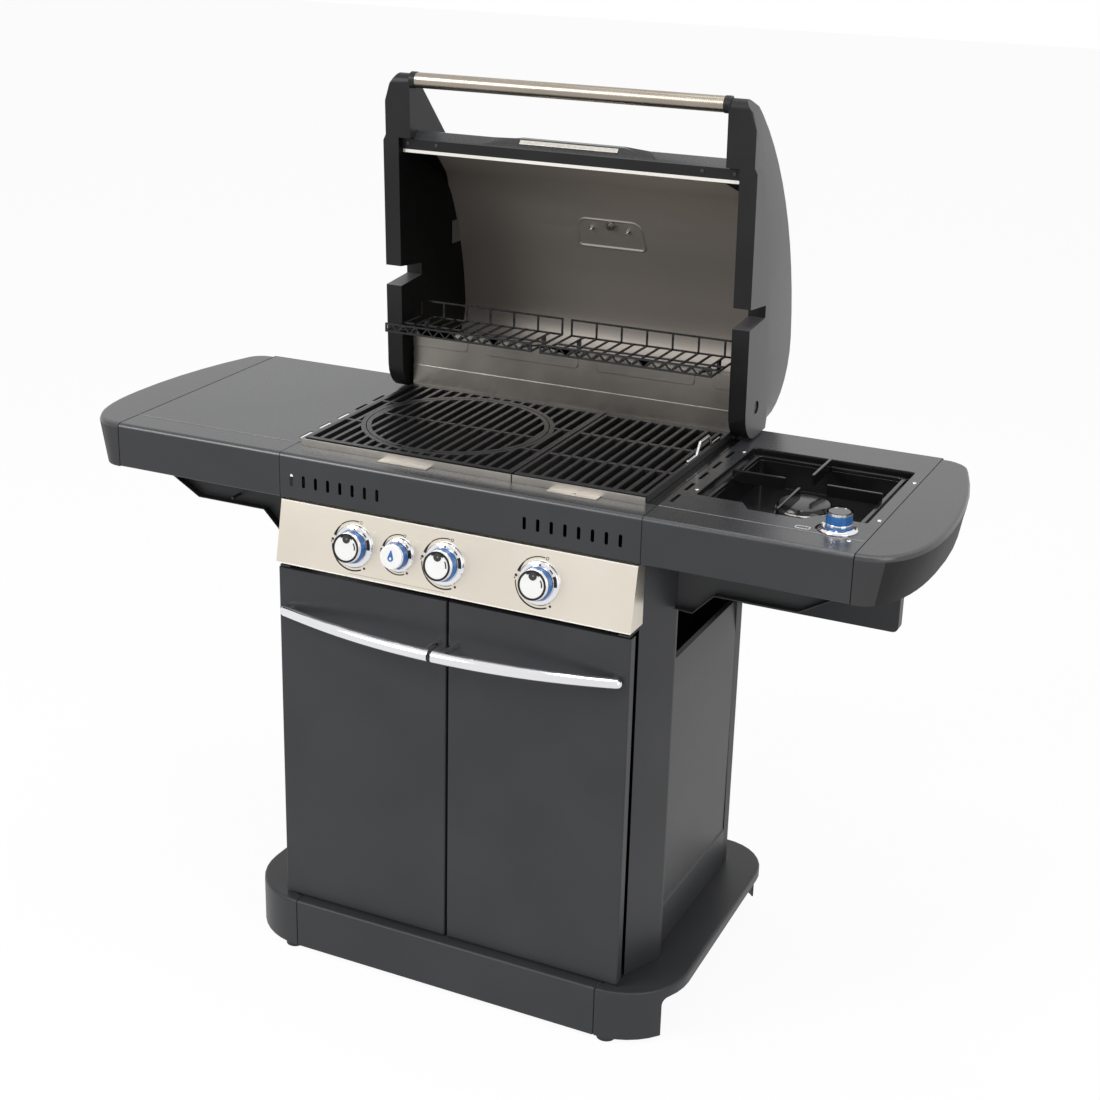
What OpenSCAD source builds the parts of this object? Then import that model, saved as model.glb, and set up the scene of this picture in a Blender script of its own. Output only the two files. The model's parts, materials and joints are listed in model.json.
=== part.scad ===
// Gas barbecue grill: a fire box under a hinged lid, on a cabinet with two doors,
// with a work shelf on the left and a side burner in the shelf on the right.
// Millimetres. +X is to the user's right, +Y points away from the user, +Z is up.
// Modules draw each piece with y measured from the apron's front face, as it stands in use
// with the lid open, and from_front() moves it so that the origin is on the ground under
// the middle of the whole object.

/* [Work top] */
// Height of the work top above the ground
work_z = 913; // [890:1:950]
// Depth of the work top, front to back
top_d = 499; // [490:1:530]
// Width of the middle section, from seam to seam
middle_w = 640; // [630:1:680]
// Width of each side shelf, from the middle section to its end cap
shelf_w = 325; // [315:1:380]
// Reach of the moulded end caps beyond the shelves
cap_w = 95; // [75:1:115]
// How far the end caps' sides lean in towards their lower edge
cap_draft = 24; // [10:1:30]
// Height of the front apron
apron_h = 77; // [72:1:90]
// Depth of the folded strip along the top of the apron
strip_d = 60; // [57:0.5:60.5]
// Radius of the apron's folded top edge
apron_round = 8; // [4:0.5:12]
// Thickness of the sheet steel
sheet = 1.5; // [1:0.1:2]
// Gap between neighbouring panels
seam = 1; // [0.6:0.1:1.4]
// Wall of the moulded end caps
cap_wall = 3; // [2.5:0.1:4]

/* [Base and cabinet] */
// Height of the base's deck above the ground
base_z = 98; // [90:1:110]
// Width of the base
base_w = 812; // [800:1:860]
// How far the base stands out in front of the apron
base_front = 34; // [30:1:50]
// How far the base stands out behind the work top
base_rear = 38; // [20:1:60]
// Wall of the base mouldings
base_wall = 3; // [2.5:0.1:4]
// Height of the feet below the base's skirt
foot_h = 8; // [6:0.5:15]
// Width of each door
door_w = 315; // [308:0.5:316]
// Thickness of the doors
door_t = 18; // [16:0.5:20]
// Gap between the two doors
door_gap = 4; // [3:0.5:8]
// Gap under and over the doors
door_play = 5; // [4:0.5:8]
// Height of the doors
door_h = 615; // [580:1:618]
// Radius of the door pivots
pivot_r = 4; // [3:0.5:5]
// Height of the cabinet's side panels
side_panel_h = 522; // [450:1:560]
// Reach of the door handles in front of the doors
bow_reach = 45; // [38:1:55]

/* [Control panel] */
// Height of the control panel, measured along its slope
panel_h = 107; // [103:0.5:108]
// Angle that the control panel leans back from upright
panel_lean = 11.3; // [8:0.1:14]
// Distance between neighbouring knob places
knob_pitch = 83; // [78:0.5:88]
// Distance of the knobs below the panel's top edge
knob_drop = 55; // [50:0.5:59]
// Radius of a burner knob's grip
knob_r = 24; // [21:0.5:26]
// Travel of a knob when it is pushed in
knob_travel = 4; // [3:0.5:5]
// Radius of the valve spindles
spindle_r = 4; // [3:0.5:5]

/* [Fire box and grates] */
// Gap between the fire box and the beams beside it
box_play = 3; // [2:0.5:8]
// Depth of the fire box from rim to floor slope
box_h = 151; // [140:1:155]
// Height of the grates above the work top
grate_h = 13; // [10:0.5:14]
// Width of a grate bar
grate_bar = 7; // [5:0.5:9]
// Distance between neighbouring grate bars
grate_pitch = 20.5; // [18:0.5:26]
// Radius of the round cooking insert in the left grate
insert_r = 154; // [140:1:158]
// Radius of the main burner tubes
burner_r = 16; // [12:0.5:20]
// Height of the warming racks' floor above the work top
rack_rise = 134; // [125:1:145]

/* [Lid] */
// Height of the hinge above the work top
hinge_rise = 55; // [50:0.5:60]
// Distance of the hinge behind the apron's front face
hinge_y = 447; // [444:0.5:452]
// Gap between the closed lid's rim and the work top
lid_gap = 2.5; // [2:0.1:4]
// Angle that the lid opens
lid_open = 88; // [80:1:90]
// Height of the closed lid above the hinge
lid_rise = 217; // [205:1:235]
// Radius of the lid's long front curve
lid_arc = 580; // [560:1:600]
// Radius of the lid's rear top corner
lid_rear_round = 110; // [90:1:130]
// Thickness of the lid's cast side walls
lid_wall = 30; // [24:0.5:34]
// Distance between the lid's outer and inner sheets
liner_gap = 22; // [18:0.5:26]
// Radius of the lid handle's tube
lid_tube_r = 13; // [10:0.5:15]
// Radius of the lid's hinge pins
hinge_pin_r = 5; // [4:0.5:6]

/* [Side burner] */
// Width of the opening over the side burner
well_w = 272; // [260:1:276]
// Depth of the opening over the side burner, front to back
well_d = 270; // [255:1:275]
// Width and height of the side burner's cover
cover_w = 286; // [270:1:300]
// Radius of the side burner's head
burner_head_r = 46; // [36:1:55]

/* [Hidden] */

// Finishes
graphite = [0.25, 0.255, 0.265];
soft_black = [0.1, 0.1, 0.1];
cast_black = [0.07, 0.07, 0.07];
steel = [0.72, 0.71, 0.68];
chrome = [0.85, 0.86, 0.88];
brass = [0.75, 0.6, 0.3];
knob_blue = [0.1, 0.35, 0.65];

// Fits
seat_gap = 0.3;
running = 0.05;
round_fn = 48;

// Work top
mid_x = middle_w / 2;
cap_x = mid_x + shelf_w;
apron_z = work_z - apron_h;
plate_z = work_z - sheet;
lip_round = 4;
lip_d = 30;
half_seam = seam / 2;

// Base
base_y0 = -base_front;
base_y1 = top_d + base_rear;
base_seam_x = mid_x - 34;
base_end_w = base_w / 2 - base_seam_x;
base_taper = 10;
base_front_round = min(118, base_end_w - 2);
base_rear_round = min(90, base_end_w - base_taper - 2);
base_edge = 5;
beam_d = 60;
arch_z = 78;
arch_r = 12;
arch_y0 = base_y0 + 52;
arch_y1 = base_y1 - 32;
foot_r = 16;
floor_x = base_seam_x + 4;

// Cabinet
column_x0 = mid_x - 6;
column_x1 = mid_x + 25;
column_y0 = 23;
column_y1 = 98;
column_back = 108;
rear_column_y0 = top_d - 61;
rear_column_y1 = top_d - 33;
side_panel_x = mid_x + 10;
rear_column_x1 = side_panel_x;
rear_column_x0 = rear_column_x1 - 30;
door_y0 = -15;
door_y1 = door_y0 + door_t;
door_x0 = door_gap / 2;
door_x1 = door_x0 + door_w;
door_z0 = base_z + door_play;
door_z1 = door_z0 + door_h;
door_round = 3;
pivot_x = door_x1 - 12;
pivot_y = door_y0 + door_t / 2;
pivot_depth = 20;
boss_r = pivot_r + 4;
bow_r = 11;
bow_end_r = 9;

// Side beams carry the middle section and the shelves on the columns.
beam_x0 = column_x0 - 8;
beam_x1 = column_x1 - 20;
beam_y0 = 52;
beam_y1 = rear_column_y1 + 4;
bracket_y = column_y1 + 1.5;
bracket_drop = 98;
bracket_rise = 65;
bracket_root = 31;
bracket_bend = 65;
bracket_turn = 199;
bracket_end = 255;

// Control panel
panel_top_y = 0;
panel_top_z = apron_z - 2.5;
panel_bottom_y = panel_top_y - panel_h * sin(panel_lean);
panel_bottom_z = panel_top_z - panel_h * cos(panel_lean);
panel_x = mid_x - 2.5;
panel_hem_y = 13;
knob_x1 = -173.5;
knob_slots = [0, 1, 2, 4];
bezel_h = 6;
bezel_w = 12;
knob_back = knob_travel + 0.5;
knob_face = 27;
small_knob = 0.8;
spindle_out = 20;
spindle_in = 22;
valve_r = 11;
valve_front = 12;
valve_back = 40;
pipe_y = 38;
pipe_z = panel_top_z - knob_drop * cos(panel_lean) - 12;
pipe_r = 9;
feed_r = 4;
feed_z = apron_z + 22;

// Fire box
box_x = beam_x0 - box_play;
box_y0 = 66;
box_y1 = 420;
box_z = work_z - box_h;
rim_y0 = strip_d + 0.5;
rim_y1 = 432;
hopper_h = 45;
drain = [120, 80];
drain_y = (box_y0 + box_y1) / 2;
hopper_z = box_z - hopper_h;
ledge_z = work_z - 58;
ledge_d = 12;
burner_z = box_z + 40;
rest_z = burner_z - burner_r - seat_gap;
tray_x = 141;
tray_y0 = 130;
tray_y1 = 426;
tray_h = 15;
rail_x = tray_x + 2;
rail_z = hopper_z - 21;
tray_z = rail_z + sheet + seat_gap;

// Grates
split_x = 77;
grate_gap = 1.5;
grate_x = box_x + 1;
grate_y0 = 57;
grate_y1 = 423;
grate_z = work_z + grate_h;
insert_x = -116;
insert_y = 240;
trim_y = 50;
rack_z = work_z + rack_rise;
wire = 3;
liner_y = 425;
liner_z = work_z + 117;

// Lid, in the closed position; lid_opened() turns it to its open rest.
hinge_z = work_z + hinge_rise;
rim_z = work_z + lid_gap;
lid_corner = hinge_z - rim_z;
lid_back_y = hinge_y + lid_corner;
arc_y = hinge_y - 37;
arc_z = hinge_z + lid_rise - lid_arc;
rear_y = lid_back_y - lid_rear_round;
rear_z = arc_z + sqrt(pow(lid_arc - lid_rear_round, 2) - pow(rear_y - arc_y, 2));
rear_angle = atan2(rear_z - arc_z, rear_y - arc_y);
tip_r = 15;
tip_z = rim_z + tip_r;
tip_y = arc_y - sqrt(pow(lid_arc - tip_r, 2) - pow(tip_z - arc_z, 2));
tip_angle = atan2(tip_z - arc_z, tip_y - arc_y);
handle_y = tip_y - 5;
handle_z = tip_z - 3;
lid_x = beam_x0 + 2;
tower_x = lid_x - 23;
skin_y = 41;
skin_inset = 2;
lip_z = rim_z + 12.5;
visor_z = lip_z + 28;
visor_angle = 120;
skin_end_z = hinge_z + 17;
crease_r = 966;
crease_y = hinge_y - 9;
crease_z = hinge_z - 911;
dial_angle = 108.8;
dial_r = 36;
dial_x = 4;
bracket_x = lid_x - 18;

// Side burner
well_x0 = mid_x + 33;
well_x1 = well_x0 + well_w;
well_y0 = 135;
well_y1 = well_y0 + well_d;
well_front = 106;
rail_w = 12;
rail_y0 = 44;
rail_y1 = well_y1 + 24;
step_in = 18;
step_z = work_z - 15;
well_z = work_z - 58;
burner_x = (well_x0 + well_x1) / 2;
side_burner_y = 262;
side_knob_x = cap_x - 50;
side_knob_y = 88;
side_valve_z = work_z - 43;
cover_d = 22;
cover_z1 = apron_z + 40;
cover_x1 = well_x1 - 28;
cover_y0 = top_d + 3;
peg_r = 4;

// The whole object reaches from the door handles to the back of the open lid.
front_reach = -door_y0 + bow_reach + 2 * bow_end_r;
back_reach = hinge_y + lid_rise;
middle_y = (back_reach - front_reach) / 2;

// ---- Outlines -------------------------------------------------------------------

function arc(x, y, r, from, to, steps) =
    [for (i = [0:steps]) let (a = from + (to - from) * i / steps) [x + r * cos(a), y + r * sin(a)]];

// A soft bend from a to c, drawn towards b.
function bend(a, b, c, steps) =
    [for (i = [0:steps]) let (t = i / steps) (1 - t) * (1 - t) * a + 2 * t * (1 - t) * b + t * t * c];

function unit(v) = v / norm(v);

function left_of(v) = [-v[1], v[0]];

function mitred(before, point, after, t) =
    let (a = unit(point - before), b = unit(after - point), m = unit(left_of(a) + left_of(b)))
    point + m * t / (m * left_of(a));

// An open line moved sideways by t, to its left.
function moved(p, t) =
    let (last = len(p) - 1)
    [for (i = [0:last])
        mitred(i == 0 ? 2 * p[0] - p[1] : p[i - 1], p[i], i == last ? 2 * p[last] - p[last - 1] : p[i + 1], t)];

// The section of a sheet of thickness t, folded along the line p.
function folded(p, t) = let (q = moved(p, t)) concat(p, [for (i = [len(q) - 1:-1:0]) q[i]]);

// A closed outline moved inwards by t.
function inside(p, t) =
    let (n = len(p)) [for (i = [0:n - 1]) mitred(p[(i + n - 1) % n], p[i], p[(i + 1) % n], t)];

function rounded(x0, y0, x1, y1, r) = concat(
    arc(x1 - r, y0 + r, r, -90, 0, 4), arc(x1 - r, y1 - r, r, 0, 90, 4),
    arc(x0 + r, y1 - r, r, 90, 180, 4), arc(x0 + r, y0 + r, r, 180, 270, 4));

function at_z(p, z) = [for (q = p) [q[0], q[1], z]];

function at_x(p, x) = [for (q = p) [x, q[0], q[1]]];

// ---- Building moves --------------------------------------------------------------

module from_front() {
    translate([0, -middle_y, 0]) children();
}

module both() {
    children();
    mirror([1, 0, 0]) children();
}

module box(a, b) {
    translate(a) cube(b - a);
}

module rod(a, b, r) {
    v = b - a;
    translate(a) rotate([0, acos(v[2] / norm(v)), atan2(v[1], v[0])]) cylinder(h = norm(v), r = r);
}

// Extrudes a section drawn in (y, z) from x0 to x1.
module along_x(x0, x1) {
    translate([x0, 0, 0]) rotate([90, 0, 90]) linear_extrude(x1 - x0) children();
}

// Extrudes a section drawn in (x, z) from y0 to y1.
module along_y(y0, y1) {
    translate([0, y1, 0]) rotate([90, 0, 0]) linear_extrude(y1 - y0) children();
}

// Extrudes a plan drawn in (x, y) from z0 to z1.
module upward(z0, z1) {
    translate([0, 0, z0]) linear_extrude(z1 - z0) children();
}

module hollow(outline, wall) {
    difference() {
        polygon(outline);
        polygon(inside(outline, wall));
    }
}

// A solid through equal rings of points.
module loft(rings) {
    n = len(rings[0]);
    last = (len(rings) - 1) * n;
    sides = [for (j = [0:len(rings) - 2], i = [0:n - 1])
        let (a = j * n + i, b = j * n + (i + 1) % n) each [[a, a + n, b + n], [a, b + n, b]]];
    polyhedron(
        points = [for (ring = rings) each ring],
        faces = concat([[for (i = [0:n - 1]) i]], sides, [[for (i = [n - 1:-1:0]) last + i]]));
}

// Puts a thing on the control panel's face, with its own z pointing out of the panel.
module on_panel(x) {
    translate([x, panel_top_y - knob_drop * sin(panel_lean), panel_top_z - knob_drop * cos(panel_lean)])
        rotate([90 - panel_lean, 0, 0]) children();
}

module lid_opened() {
    translate([0, hinge_y, hinge_z]) rotate([-lid_open, 0, 0]) translate([0, -hinge_y, -hinge_z]) children();
}

function knob_x(i) = knob_x1 + knob_pitch * knob_slots[i];

function knob_size(i) = i == 1 ? small_knob : 1;

// ---- Base --------------------------------------------------------------------------

function base_outline(d) = concat(
    [[base_seam_x + half_seam, base_y0 + d]],
    arc(base_w / 2 - base_front_round, base_y0 + base_front_round, base_front_round - d, -90, 0, 10),
    arc(base_w / 2 - base_taper - base_rear_round, base_y1 - base_rear_round, base_rear_round - d, 0, 90, 8),
    [[base_seam_x + half_seam, base_y1 - d]]);

// One rounded end of the base, open below, with an arch in its side.
module base_side() {
    difference() {
        loft([
            at_z(base_outline(0), foot_h), at_z(base_outline(0), base_z - base_edge),
            at_z(base_outline(base_edge * 0.3), base_z - base_edge * 0.3), at_z(base_outline(base_edge), base_z)]);
        upward(0, base_z - base_wall) polygon(base_outline(base_wall));
        box([0, base_y0 + base_wall, 0], [base_seam_x + 1, base_y1 - base_wall, base_z - base_wall]);
        along_x(base_w / 2 - 40, base_w) polygon(concat(
            [[arch_y0, 0]], arc(arch_y0 + arch_r, arch_z - arch_r, arch_r, 180, 90, 4),
            arc(arch_y1 - arch_r, arch_z - arch_r, arch_r, 90, 0, 4), [[arch_y1, 0]]));
    }
}

module base_side_left() {
    color(graphite) from_front() mirror([1, 0, 0]) base_side();
}

module base_side_right() {
    color(graphite) from_front() base_side();
}

// Channels between the two ends of the base, open below.
module base_beams() {
    x = base_seam_x - half_seam;
    front = concat(
        [[base_y0 + beam_d, foot_h], [base_y0 + beam_d, base_z]],
        arc(base_y0 + base_edge, base_z - base_edge, base_edge, 90, 180, 4), [[base_y0, foot_h]]);
    rear = concat(
        [[base_y1, foot_h]], arc(base_y1 - base_edge, base_z - base_edge, base_edge, 0, 90, 4),
        [[base_y1 - beam_d, base_z], [base_y1 - beam_d, foot_h]]);
    color(graphite) from_front() {
        along_x(-x, x) polygon(folded(front, base_wall));
        along_x(-x, x) polygon(folded(rear, base_wall));
    }
}

module feet() {
    color(soft_black) from_front() both() for (y = [base_y0 + foot_r + base_wall, base_y1 - foot_r - base_wall])
        translate([base_seam_x + foot_r, y, 0]) {
            cylinder(h = foot_h, r = foot_r, $fn = round_fn);
            cylinder(h = base_z - base_wall, r = foot_r / 2, $fn = round_fn);
        }
}

// The cabinet's floor, with a raised ring for the gas bottle.
module cabinet_floor() {
    ring_r = 155;
    ring_h = 15;
    color(graphite) from_front() difference() {
        union() {
            box([-floor_x, door_y0 + 4, base_z], [floor_x, base_y1 - beam_d + 15, base_z + sheet]);
            translate([0, rear_column_y0 / 2 + 15, base_z]) cylinder(h = ring_h, r = ring_r, $fn = 64);
        }
        translate([0, rear_column_y0 / 2 + 15, base_z + sheet]) cylinder(h = ring_h, r = ring_r - sheet, $fn = 64);
    }
}

// ---- Cabinet frame ------------------------------------------------------------------

module front_columns() {
    plan = [[column_x0, column_y0], [column_x1, column_y1], [column_x1, column_back], [column_x0, column_back]];
    color(graphite) from_front() both() upward(base_z, apron_z) hollow(plan, sheet);
}

module rear_columns() {
    plan = [[rear_column_x0, rear_column_y0], [rear_column_x1, rear_column_y0],
        [rear_column_x1, rear_column_y1], [rear_column_x0, rear_column_y1]];
    color(graphite) from_front() both() upward(base_z, apron_z) hollow(plan, sheet);
}

// Side walls, with a trim along the foot and a crease under the folded top.
module side_panels() {
    top = base_z + side_panel_h;
    line = [
        [side_panel_x + 2, base_z], [side_panel_x + 2, base_z + 73], [side_panel_x, base_z + 76],
        [side_panel_x, top - 60], [side_panel_x - 5, top], [column_x0 + 2, top]];
    color(graphite) from_front() both() along_y(column_back, rear_column_y0) polygon(folded(line, sheet));
}

// The sheet that braces the rear columns and closes the cabinet's back up to the grease tray,
// flanged along its edges and stiffened by two pressed ribs.
module rear_braces() {
    flange = 20;
    rib_d = 8;
    rib_h = 24;
    under_tray = 8;
    z0 = base_z + sheet;
    z1 = rail_z - under_tray;
    y = rear_column_y1;
    ribs = [for (t = [1 / 3, 2 / 3]) let (z = z0 + (z1 - z0) * t) each [
        [y, z - rib_h], [y - rib_d, z - rib_h / 2], [y - rib_d, z + rib_h / 2], [y, z + rib_h]]];
    line = concat([[y - flange, z0], [y, z0]], ribs, [[y, z1], [y - flange, z1]]);
    color(graphite) from_front() along_x(-rear_column_x0, rear_column_x0) polygon(folded(line, sheet));
}

module side_beams() {
    section = [[beam_x0, apron_z], [beam_x1, apron_z], [beam_x1, plate_z], [beam_x0, plate_z]];
    color(graphite) from_front() both() along_y(beam_y0, beam_y1) hollow(section, sheet);
}

// ---- Aprons, shelves and end caps ----------------------------------------------------

apron_line = concat(
    [[strip_d, work_z]], arc(apron_round, work_z - apron_round, apron_round, 90, 180, 5),
    arc(lip_round, apron_z + lip_round, lip_round, 180, 270, 3), [[lip_d, apron_z]]);

module apron_slots(x0, pitch) {
    slot_w = 6;
    slot_h = 21;
    slot_z = work_z - 44.3;
    along_y(-1, 5) for (i = [0:7]) translate([x0 + i * pitch, slot_z]) {
        square([slot_w, slot_h - slot_w], center = true);
        for (s = [-1, 1]) translate([0, s * (slot_h - slot_w) / 2]) circle(d = slot_w, $fn = 24);
    }
}

module apron_middle() {
    x = mid_x - half_seam;
    pitch = 23;
    color(graphite) from_front() difference() {
        along_x(-x, x) polygon(folded(apron_line, sheet));
        apron_slots(-x + 22, pitch);
        apron_slots(x - 33 - 7 * pitch, pitch);
    }
}

module apron_side() {
    along_x(mid_x + half_seam, cap_x - half_seam) polygon(folded(apron_line, sheet));
}

module apron_left() {
    color(graphite) from_front() mirror([1, 0, 0]) apron_side();
}

module apron_right() {
    color(graphite) from_front() apron_side();
}

module shelf_plate() {
    line = [[strip_d + seam, work_z], [top_d, work_z], [top_d, apron_z], [top_d - 15, apron_z]];
    along_x(mid_x + half_seam, cap_x - half_seam) polygon(folded(line, -sheet));
}

// Drip slots beside the closed lid.
module shelf_slots() {
    slot_l = 40;
    slot_w = 6;
    pitch = 61;
    upward(plate_z - 1, work_z + 1) for (i = [0:4]) translate([mid_x + 12, 104 + pitch * i]) {
        square([slot_w, slot_l - slot_w], center = true);
        for (s = [-1, 1]) translate([0, s * (slot_l - slot_w) / 2]) circle(d = slot_w, $fn = 24);
    }
}

module shelf_plate_left() {
    color(graphite) from_front() mirror([1, 0, 0]) difference() {
        shelf_plate();
        shelf_slots();
    }
}

// The right plate, cut out over the side burner, with room for a wide pan in front.
module shelf_plate_right() {
    bulge = 42;
    color(graphite) from_front() difference() {
        shelf_plate();
        shelf_slots();
        upward(plate_z - 1, work_z + 1) {
            polygon(rounded(well_x0, well_y0, well_x1, well_y1, 6));
            polygon(concat(
                [[burner_x - bulge - 18, well_y0 + 1]], [[burner_x - bulge, well_front + 3]],
                [[burner_x + bulge, well_front + 3]], [[burner_x + bulge + 18, well_y0 + 1]]));
        }
        translate([side_knob_x, side_knob_y, plate_z - 1]) cylinder(h = 4, r = spindle_r + 2, $fn = round_fn);
        for (x = cover_pegs) rod([x, top_d - 4, cover_z1 - 6], [x, top_d + 4, cover_z1 - 6], peg_r, $fn = 32);
    }
}

// The plan of an end cap: a soft front corner, a bulging side and a round rear corner.
cap_bulge_y = 184;
cap_bulge_r = 875;
cap_rear_round = 44;
cap_squareness = 2.4;
cap_turn = 18;
function cap_side_x(y) = cap_x + cap_w - pow(y - cap_bulge_y, 2) / (2 * cap_bulge_r);
function cap_line() =
    let (power = 2 / cap_squareness, corner_y = top_d - cap_rear_round,
        turn_y = corner_y + cap_rear_round * sin(cap_turn),
        corner_x = cap_side_x(turn_y) - cap_rear_round * cos(cap_turn))
    concat(
        [for (i = [0:11]) let (a = 90 - 90 * i / 12)
            [cap_x + cap_w * pow(cos(a), power), cap_bulge_y - cap_bulge_y * pow(sin(a), power)]],
        [for (i = [0:4]) let (y = cap_bulge_y + (turn_y - cap_bulge_y) * i / 5) [cap_side_x(y), y]],
        arc(corner_x, corner_y, cap_rear_round, cap_turn, 90, 6), [[cap_x, top_d]]);
function cap_foot(p) = [for (q = p)
    [q[0] - cap_draft * (1 - 0.6 * q[1] / top_d) * (q[0] - cap_x) / cap_w, q[1]]];

// A moulded cap, hollow below, with two tabs that reach in under the shelf's plate.
module end_cap() {
    line = cap_line();
    inner = moved(line, cap_wall);
    edge = apron_round;
    tab_l = 10;
    for (y = [cap_bulge_y - 80, cap_bulge_y + 160])
        box([cap_x - tab_l, y, plate_z - cap_wall], [cap_x + cap_wall, y + 16, plate_z]);
    translate([half_seam, 0, 0]) difference() {
        loft([
            at_z(cap_foot(line), apron_z), at_z(line, work_z - edge),
            at_z(moved(line, edge * 0.3), work_z - edge * 0.3), at_z(moved(line, edge), work_z)]);
        loft([at_z(cap_foot(inner), apron_z - 1), at_z(inner, work_z - edge), at_z(inner, work_z - cap_wall)]);
        box([cap_x - 1, cap_wall, apron_z - 1], [cap_x + 1, top_d - cap_wall, work_z - cap_wall]);
    }
}

module end_cap_left() {
    color(graphite) from_front() mirror([1, 0, 0]) end_cap();
}

module end_cap_right() {
    color(graphite) from_front() end_cap();
}

// Channels under the shelves, carried by the side beams.
module shelf_rails() {
    rail_h = 30;
    color(graphite) from_front() both() for (y = [rail_y0, rail_y1])
        along_x(beam_x1, cap_x - half_seam) polygon(folded([
            [y, plate_z - rail_h], [y, plate_z], [y + rail_w, plate_z], [y + rail_w, plate_z - rail_h]], -sheet));
}

// Sheet brackets from the front columns out under the shelves, flanged along the foot;
// the left one carries two tool hooks.
module shelf_brackets() {
    flange = 14;
    foot = [
        [column_x1, apron_z - bracket_drop], [column_x1 + bracket_root, apron_z - bracket_drop - 2],
        [column_x1 + bracket_bend, apron_z - bracket_rise], [column_x1 + bracket_turn, apron_z - bracket_rise],
        [column_x1 + bracket_end, apron_z - bracket_rise / 2], [cap_x - 2, apron_z - 2]];
    hook_r = 2.5;
    hook_l = 24;
    color(graphite) from_front() {
        both() {
            along_y(bracket_y, bracket_y + sheet) polygon(concat(foot, [[column_x1, apron_z - 2]]));
            along_y(bracket_y - flange, bracket_y + sheet) polygon(folded(foot, sheet));
        }
        for (p = [[bracket_bend + 57, 14], [bracket_turn + 30, 40]])
            translate([-column_x1 - p[0], 0, apron_z - bracket_rise + p[1]])
                rod([0, bracket_y + sheet, 0], [0, bracket_y - hook_l, 0], hook_r, $fn = 24);
    }
}

// ---- Control panel and gas train -------------------------------------------------------

module control_panel() {
    line = [
        [panel_hem_y, apron_z], [panel_hem_y, panel_top_z], [panel_top_y, panel_top_z],
        [panel_bottom_y, panel_bottom_z], [column_y0 - 3, panel_bottom_z]];
    slope = (column_y1 - column_y0) / (column_x1 - column_x0);
    flange_y = column_y0 + (panel_x - sheet - column_x0) * slope - seat_gap;
    color(steel) from_front() difference() {
        union() {
            along_x(-panel_x, panel_x) polygon(folded(line, sheet));
            both() along_x(panel_x - sheet, panel_x) polygon([
                [panel_top_y, panel_top_z], [panel_bottom_y, panel_bottom_z], [flange_y, panel_bottom_z],
                [flange_y, panel_top_z]]);
        }
        for (i = [0:3]) on_panel(knob_x(i)) translate([0, 0, -5]) cylinder(h = 10, r = 7, $fn = round_fn);
    }
}

module bezel(size, top) {
    r0 = knob_r * size + 1.5;
    r1 = (knob_r + bezel_w) * size;
    rotate_extrude($fn = round_fn) polygon([
        [r0, 0], [r1, 0], [r1, 1.5], [r1 - 2, top - 1.5], [r0 + 2.5, top], [r0, top - 1]]);
}

module knob_bezels() {
    color(chrome) from_front() {
        for (i = [0:3]) on_panel(knob_x(i)) bezel(knob_size(i), bezel_h);
        translate([side_knob_x, side_knob_y, work_z]) bezel(small_knob, bezel_h);
    }
}

// A gas knob: skirt, ribbed grip, raised face and a blind hole for the spindle.
module knob(size) {
    r = knob_r * size;
    ribs = 40;
    difference() {
        union() {
            translate([0, 0, knob_back]) cylinder(h = 4, r = r + 0.5, $fn = round_fn);
            upward(knob_back + 4, knob_face - 6) polygon([for (i = [0:2 * ribs - 1])
                let (a = 180 * i / ribs, rr = r - (i % 2)) [rr * cos(a), rr * sin(a)]]);
            translate([0, 0, knob_face - 6]) cylinder(h = 4, r1 = r - 1.5, r2 = r - 3, $fn = round_fn);
            translate([0, 0, knob_face - 2]) cylinder(h = 2, r = r - 5, $fn = round_fn);
        }
        cylinder(h = spindle_out + 1, r = spindle_r + running, $fn = round_fn);
    }
}

module burner_knob(i) {
    color(knob_blue) from_front() on_panel(knob_x(i)) knob(knob_size(i));
}

module side_knob() {
    color(knob_blue) from_front() translate([side_knob_x, side_knob_y, work_z]) knob(small_knob);
}

module burner_spindle(i) {
    color(brass) from_front() on_panel(knob_x(i)) translate([0, 0, -spindle_in])
        cylinder(h = spindle_in + spindle_out, r = spindle_r, $fn = round_fn);
}

module side_spindle() {
    color(brass) from_front() translate([side_knob_x, side_knob_y, work_z - spindle_in])
        cylinder(h = spindle_in + spindle_out, r = spindle_r, $fn = round_fn);
}

// The valve behind one knob: its nose bears on the panel, its jet feeds a burner.
module valve(i) {
    jet_y = box_y0 - 8;
    difference() {
        union() {
            on_panel(knob_x(i)) {
                translate([0, 0, -valve_back]) cylinder(h = valve_back - valve_front, r = valve_r, $fn = round_fn);
                translate([0, 0, -valve_front - 1]) cylinder(h = valve_front + 1 - sheet, r = 9, $fn = round_fn);
            }
            rod([knob_x(i), pipe_y, pipe_z], [knob_x(i), pipe_y, burner_z + 5], 5, $fn = 32);
            rod([knob_x(i), pipe_y, burner_z], [knob_x(i), jet_y, burner_z], 4, $fn = 32);
        }
        on_panel(knob_x(i)) translate([0, 0, -spindle_in - knob_travel - 3])
            cylinder(h = spindle_in + knob_travel + 10, r = spindle_r + running, $fn = round_fn);
    }
}

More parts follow.
